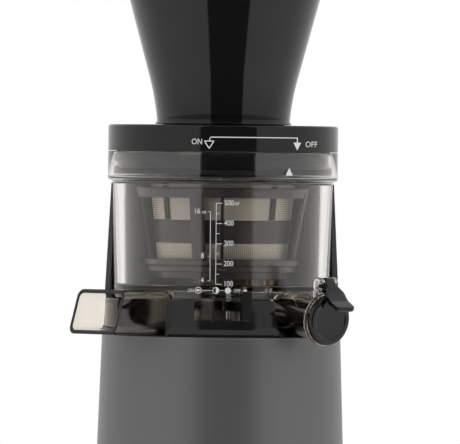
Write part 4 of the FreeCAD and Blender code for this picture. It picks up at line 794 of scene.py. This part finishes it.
# Lid and rim marks: the turning line with an open arrow where it starts and a full one where it ends
def buildPrints():
    lid = {"radius": 69.0, "lineDrop": 7.0, "letter": 3.4, "stroke": 0.55, "start": -8.2, "end": 43.9,
           "bend": 1.7, "onShift": -7.2, "offShift": 8.4, "openHalf": 2.8, "openTop": 2.6, "openTip": 7.0,
           "fullHalf": 2.3, "fullTop": 3.0, "fullTip": 7.6}
    rimArrow = {"middle": 39.3, "half": 2.1, "footDrop": 13.6, "tipDrop": 9.0}
    line, stroke, bend = level["lidTop"] - lid["lineDrop"], lid["stroke"], lid["bend"]
    left, right = lid["start"], lid["end"]
    parts = [letters("ON", left + lid["onShift"], line - 4.6, lid["letter"]),
             letters("OFF", right + lid["offShift"], line - 5.6, lid["letter"])]
    parts += bar(left + 1.5, right + 0.1, line - stroke, line, 30)
    parts += bar(left, left + stroke, line - 2.6, line - 1.4)
    parts += ringShape(left + bend, line - bend, bend, bend - stroke, 90, 180, 8)
    parts += bar(right - 0.3, right + 0.3, line - 3.2, line)
    parts.append(flatShape([(right - lid["fullHalf"], line - lid["fullTop"]), (right, line - lid["fullTip"]),
                            (right + lid["fullHalf"], line - lid["fullTop"])]))
    corners = [(left - lid["openHalf"], line - lid["openTop"]),
               (left + lid["openHalf"], line - lid["openTop"]), (left, line - lid["openTip"])]
    for first, last in zip(np.array(corners), np.array(corners[1:] + corners[:1])):
        normal = np.array([first[1] - last[1], last[0] - first[0]])
        normal = normal / np.linalg.norm(normal) * stroke / 2
        parts.append(flatShape([first - normal, last - normal, last + normal, first + normal]))
    printPiece("lidPrint", parts, "lid", lambda spots: wrapped(spots, lid["radius"]))
    middle, half = rimArrow["middle"], rimArrow["half"]
    foot, tip = level["rimTop"] - rimArrow["footDrop"], level["rimTop"] - rimArrow["tipDrop"]
    mark = [flatShape([(middle - half, foot), (middle + half, foot), (middle, tip)])]
    printPiece("rimMark", mark, "drum", lambda spots: wrapped(spots, lid["radius"]))
    buildScale()


# Scale: long and short ticks from the line, numbers beside the long ones, and the lever's marks below
def buildScale():
    scale = {"radius": 66.0, "footRadius": 64.7, "line": -3.6, "start": 1.6, "span": 48, "tick": 3.6,
             "short": 2.1, "stroke": 0.32, "number": 3.2, "unit": 0.7}
    ounces = {"line": -7.0, "startRise": 2, "endDrop": 5, "tick": 1.6,
              "marks": ((0, "4"), (0.355, "8"), (1, "16"))}
    lever = {"rise": 5.6, "ring": 2.0, "ringIn": 1.65, "dot": 1.8, "dotIn": 0.01, "half": 0.12, "letter": 2.0}
    first = level["floor"] + scale["start"]
    last = first + scale["span"]
    half, line, number = scale["stroke"] / 2, scale["line"], scale["number"]
    step = scale["span"] / 4
    parts = bar(line - half, line + half, first - half, last + half)
    for index in range(5):
        height = first + step * index
        parts += bar(line, line + scale["tick"], height - half, height + half)
        parts.append(letters(str(100 * (index + 1)), line + 7.6, height - 1.2, number))
        if index < 4:
            height += step / 2
            parts += bar(line, line + scale["short"], height - half, height + half)
    parts.append(letters("ml", line + 12.2, last - 1.0, number * scale["unit"]))
    ounce, lowZ, highZ = ounces["line"], first + ounces["startRise"], last - ounces["endDrop"]
    parts += bar(ounce - half, ounce + half, lowZ, highZ)
    for share, text in ounces["marks"]:
        height = lowZ + (highZ - lowZ) * share
        parts += bar(ounce - ounces["tick"], ounce, height - half, height + half)
        parts.append(letters(text, ounce - (8.0 if text == "16" else 4.6), height - 1.2, number))
    parts.append(letters("oz", ounce - 3.8, highZ - 1.1, number * scale["unit"]))
    mark, ring, ringIn = level["skirt"] + lever["rise"], lever["ring"], lever["ringIn"]
    lowZ, highZ = mark - lever["half"], mark + lever["half"]
    parts.append(letters("ON", -18.4, mark - 1.0, lever["letter"]))
    parts += ringShape(-14.0, mark, ring, ringIn)
    parts += bar(-11.6, -5.8, lowZ, highZ, 4)
    parts += ringShape(-3.4, mark, ring, ringIn)
    parts += ringShape(-3.4, mark, lever["dot"], lever["dotIn"], -90, 90, 14)
    parts += bar(-1.2, 1.6, lowZ, highZ, 2)
    parts += ringShape(3.8, mark, lever["dot"], lever["dotIn"])
    parts.append(letters("OFF", 9.4, mark - 1.0, lever["letter"]))
    printPiece("drumPrint", parts, "drum", lambda spots: wrapped(
        spots, scale["radius"], scale["footRadius"], level["skirt"], level["ledge"]))


# Floor: pale near the juicer, and clear further out, so that no horizon shows
def buildFloor():
    stage = {"half": 1.9, "fadeStart": 0.5, "fadeEnd": 1.6, "tone": 0.93, "rough": 0.8, "specular": 0.1}
    half = stage["half"]
    mesh = bpy.data.meshes.new("floor")
    corners = [(-half, -half, 0), (half, -half, 0), (half, half, 0), (-half, half, 0)]
    mesh.from_pydata(corners, [], [(0, 1, 2, 3)])
    floor = bpy.data.objects.new("floor", mesh)
    bpy.context.scene.collection.objects.link(floor)
    material, tree, shader = nodeTree("paleFloor")
    shader.inputs["Base Color"].default_value = (stage["tone"], stage["tone"], stage["tone"], 1)
    shader.inputs["Roughness"].default_value = stage["rough"]
    shader.inputs["Specular IOR Level"].default_value = stage["specular"]
    coords = addNode(tree, "ShaderNodeTexCoord")
    reach = addNode(tree, "ShaderNodeVectorMath", operation="LENGTH")
    link(tree, coords.outputs["Object"], reach.inputs[0])
    fade = addNode(tree, "ShaderNodeMapRange", interpolation_type="SMOOTHSTEP")
    fade.inputs["From Min"].default_value = stage["fadeStart"]
    fade.inputs["From Max"].default_value = stage["fadeEnd"]
    link(tree, reach.outputs["Value"], fade.inputs["Value"])
    clear = addNode(tree, "ShaderNodeBsdfTransparent")
    mix = addNode(tree, "ShaderNodeMixShader")
    link(tree, fade.outputs["Result"], mix.inputs["Fac"])
    link(tree, shader.outputs["BSDF"], mix.inputs[1])
    link(tree, clear.outputs["BSDF"], mix.inputs[2])
    link(tree, mix.outputs["Shader"], tree.nodes["Material Output"].inputs["Surface"])
    floor.data.materials.append(material)


# Card: a dark arc in front that shows only in reflections and through the clear parts
def buildCard():
    cloth = {"from": -21, "to": 31, "away": 0.42, "foot": 0.004, "top": 1.2, "tone": 0.07}
    angle = np.radians(np.linspace(cloth["from"], cloth["to"], 24))
    arc = np.stack([cloth["away"] * np.sin(angle), -cloth["away"] * np.cos(angle)], 1)
    points = np.concatenate([np.column_stack([arc, np.full(len(arc), height)])
                             for height in (cloth["foot"], cloth["top"])])
    count = len(arc)
    mesh = bpy.data.meshes.new("darkCard")
    mesh.from_pydata(points.tolist(), [], [(i, i + 1, i + 1 + count, i + count) for i in range(count - 1)])
    card = bpy.data.objects.new("darkCard", mesh)
    bpy.context.scene.collection.objects.link(card)
    material, _, shader = nodeTree("darkCloth")
    shader.inputs["Base Color"].default_value = (cloth["tone"], cloth["tone"], cloth["tone"], 1)
    shader.inputs["Roughness"].default_value = 1.0
    shader.inputs["Specular IOR Level"].default_value = 0.0
    card.data.materials.append(material)
    card.visible_camera = False
    card.visible_shadow = False
    card.visible_diffuse = False


# World: plain white to the camera and through clear parts, and a little softer as light
def buildWorld():
    world = bpy.data.worlds.new("studio")
    bpy.context.scene.world = world
    world.use_nodes = True
    tree = world.node_tree
    tree.nodes.clear()
    output = addNode(tree, "ShaderNodeOutputWorld")
    soft = addNode(tree, "ShaderNodeBackground", Strength=0.86)
    soft.inputs["Color"].default_value = (1, 1, 1, 1)
    plain = addNode(tree, "ShaderNodeBackground", Strength=1.0)
    plain.inputs["Color"].default_value = (1, 1, 1, 1)
    path = addNode(tree, "ShaderNodeLightPath")
    either = addNode(tree, "ShaderNodeMath", operation="MAXIMUM")
    link(tree, path.outputs["Is Camera Ray"], either.inputs[0])
    link(tree, path.outputs["Is Transmission Ray"], either.inputs[1])
    mix = addNode(tree, "ShaderNodeMixShader")
    link(tree, either.outputs["Value"], mix.inputs["Fac"])
    link(tree, soft.outputs["Background"], mix.inputs[1])
    link(tree, plain.outputs["Background"], mix.inputs[2])
    link(tree, mix.outputs["Shader"], output.inputs["Surface"])


# a soft rectangle of light that neither the camera nor a reflection shows
def addLamp(name, spot, aim, wide, tall, power):
    data = bpy.data.lights.new(name, "AREA")
    data.shape = "RECTANGLE"
    data.size, data.size_y, data.energy = wide, tall, power
    lamp = bpy.data.objects.new(name, data)
    lamp.location = spot
    lamp.rotation_euler = (Vector(aim) - Vector(spot)).to_track_quat("-Z", "Y").to_euler()
    lamp.visible_camera = False
    lamp.visible_transmission = False
    lamp.visible_glossy = False
    bpy.context.scene.collection.objects.link(lamp)


def buildLamps():
    lamps = {"side": 1.3, "height": 0.6, "aim": (0, 0, 0.28), "wide": 0.7, "tall": 1.3, "power": 4}
    shape = (lamps["aim"], lamps["wide"], lamps["tall"], lamps["power"])
    addLamp("leftSoft", (-lamps["side"], -0.7, lamps["height"]), *shape)
    addLamp("rightSoft", (lamps["side"], -0.5, lamps["height"]), *shape)
    addLamp("topSoft", (0, -0.2, 1.7), (0, 0, 0.3), 1.0, 1.0, lamps["power"])


# Camera: a long lens level with the drum, rolled a little as the picture is
def buildCamera():
    shot = {"across": 4.6, "height": 262, "away": 5.0, "frameWidth": 276, "sensor": 36, "farthest": 60,
            "elevation": 0.5, "roll": 0.62}
    data = bpy.data.cameras.new("camera")
    data.sensor_width = shot["sensor"]
    data.lens = shot["sensor"] * shot["away"] / (shot["frameWidth"] * mm)
    data.clip_end = shot["farthest"]
    camera = bpy.data.objects.new("camera", data)
    bpy.context.scene.collection.objects.link(camera)
    lean = math.radians(shot["elevation"])
    target = Vector((shot["across"] * mm, 0, shot["height"] * mm))
    back = Vector((0, -math.cos(lean), math.sin(lean)))
    roll = Matrix.Rotation(math.radians(shot["roll"]), 4, "Z")
    facing = (-back).to_track_quat("-Z", "Y").to_matrix().to_4x4()
    camera.matrix_world = Matrix.Translation(target + back * shot["away"]) @ facing @ roll
    bpy.context.scene.camera = camera


buildCamera()
buildWorld()
buildLamps()
buildFloor()
buildCard()
print("camera and studio ready")
buildHopper()
buildLid()
print("hopper and lid ready")
buildDrum()
buildCap()
buildStrainer()
buildBrush()
buildSeam()
for node, body, material, slotName in (
        ("auger", "auger", "augerBlack", "auger_black"),
        ("housing_shell", "base", "housingGrey", "housing_grey"),
        ("collar_deck", "base", "satinBlack", "satin_black"),
        ("column_liner", "base", "linerGrey", "housing_grey"),
        ("strainer_frame", "drum", "bandGrey", "brush_grey")):
    smoothCopy(node, body, material)
print("drum ready")
buildPrints()
print("prints ready")

bpy.context.scene.view_settings.view_transform = "Standard"
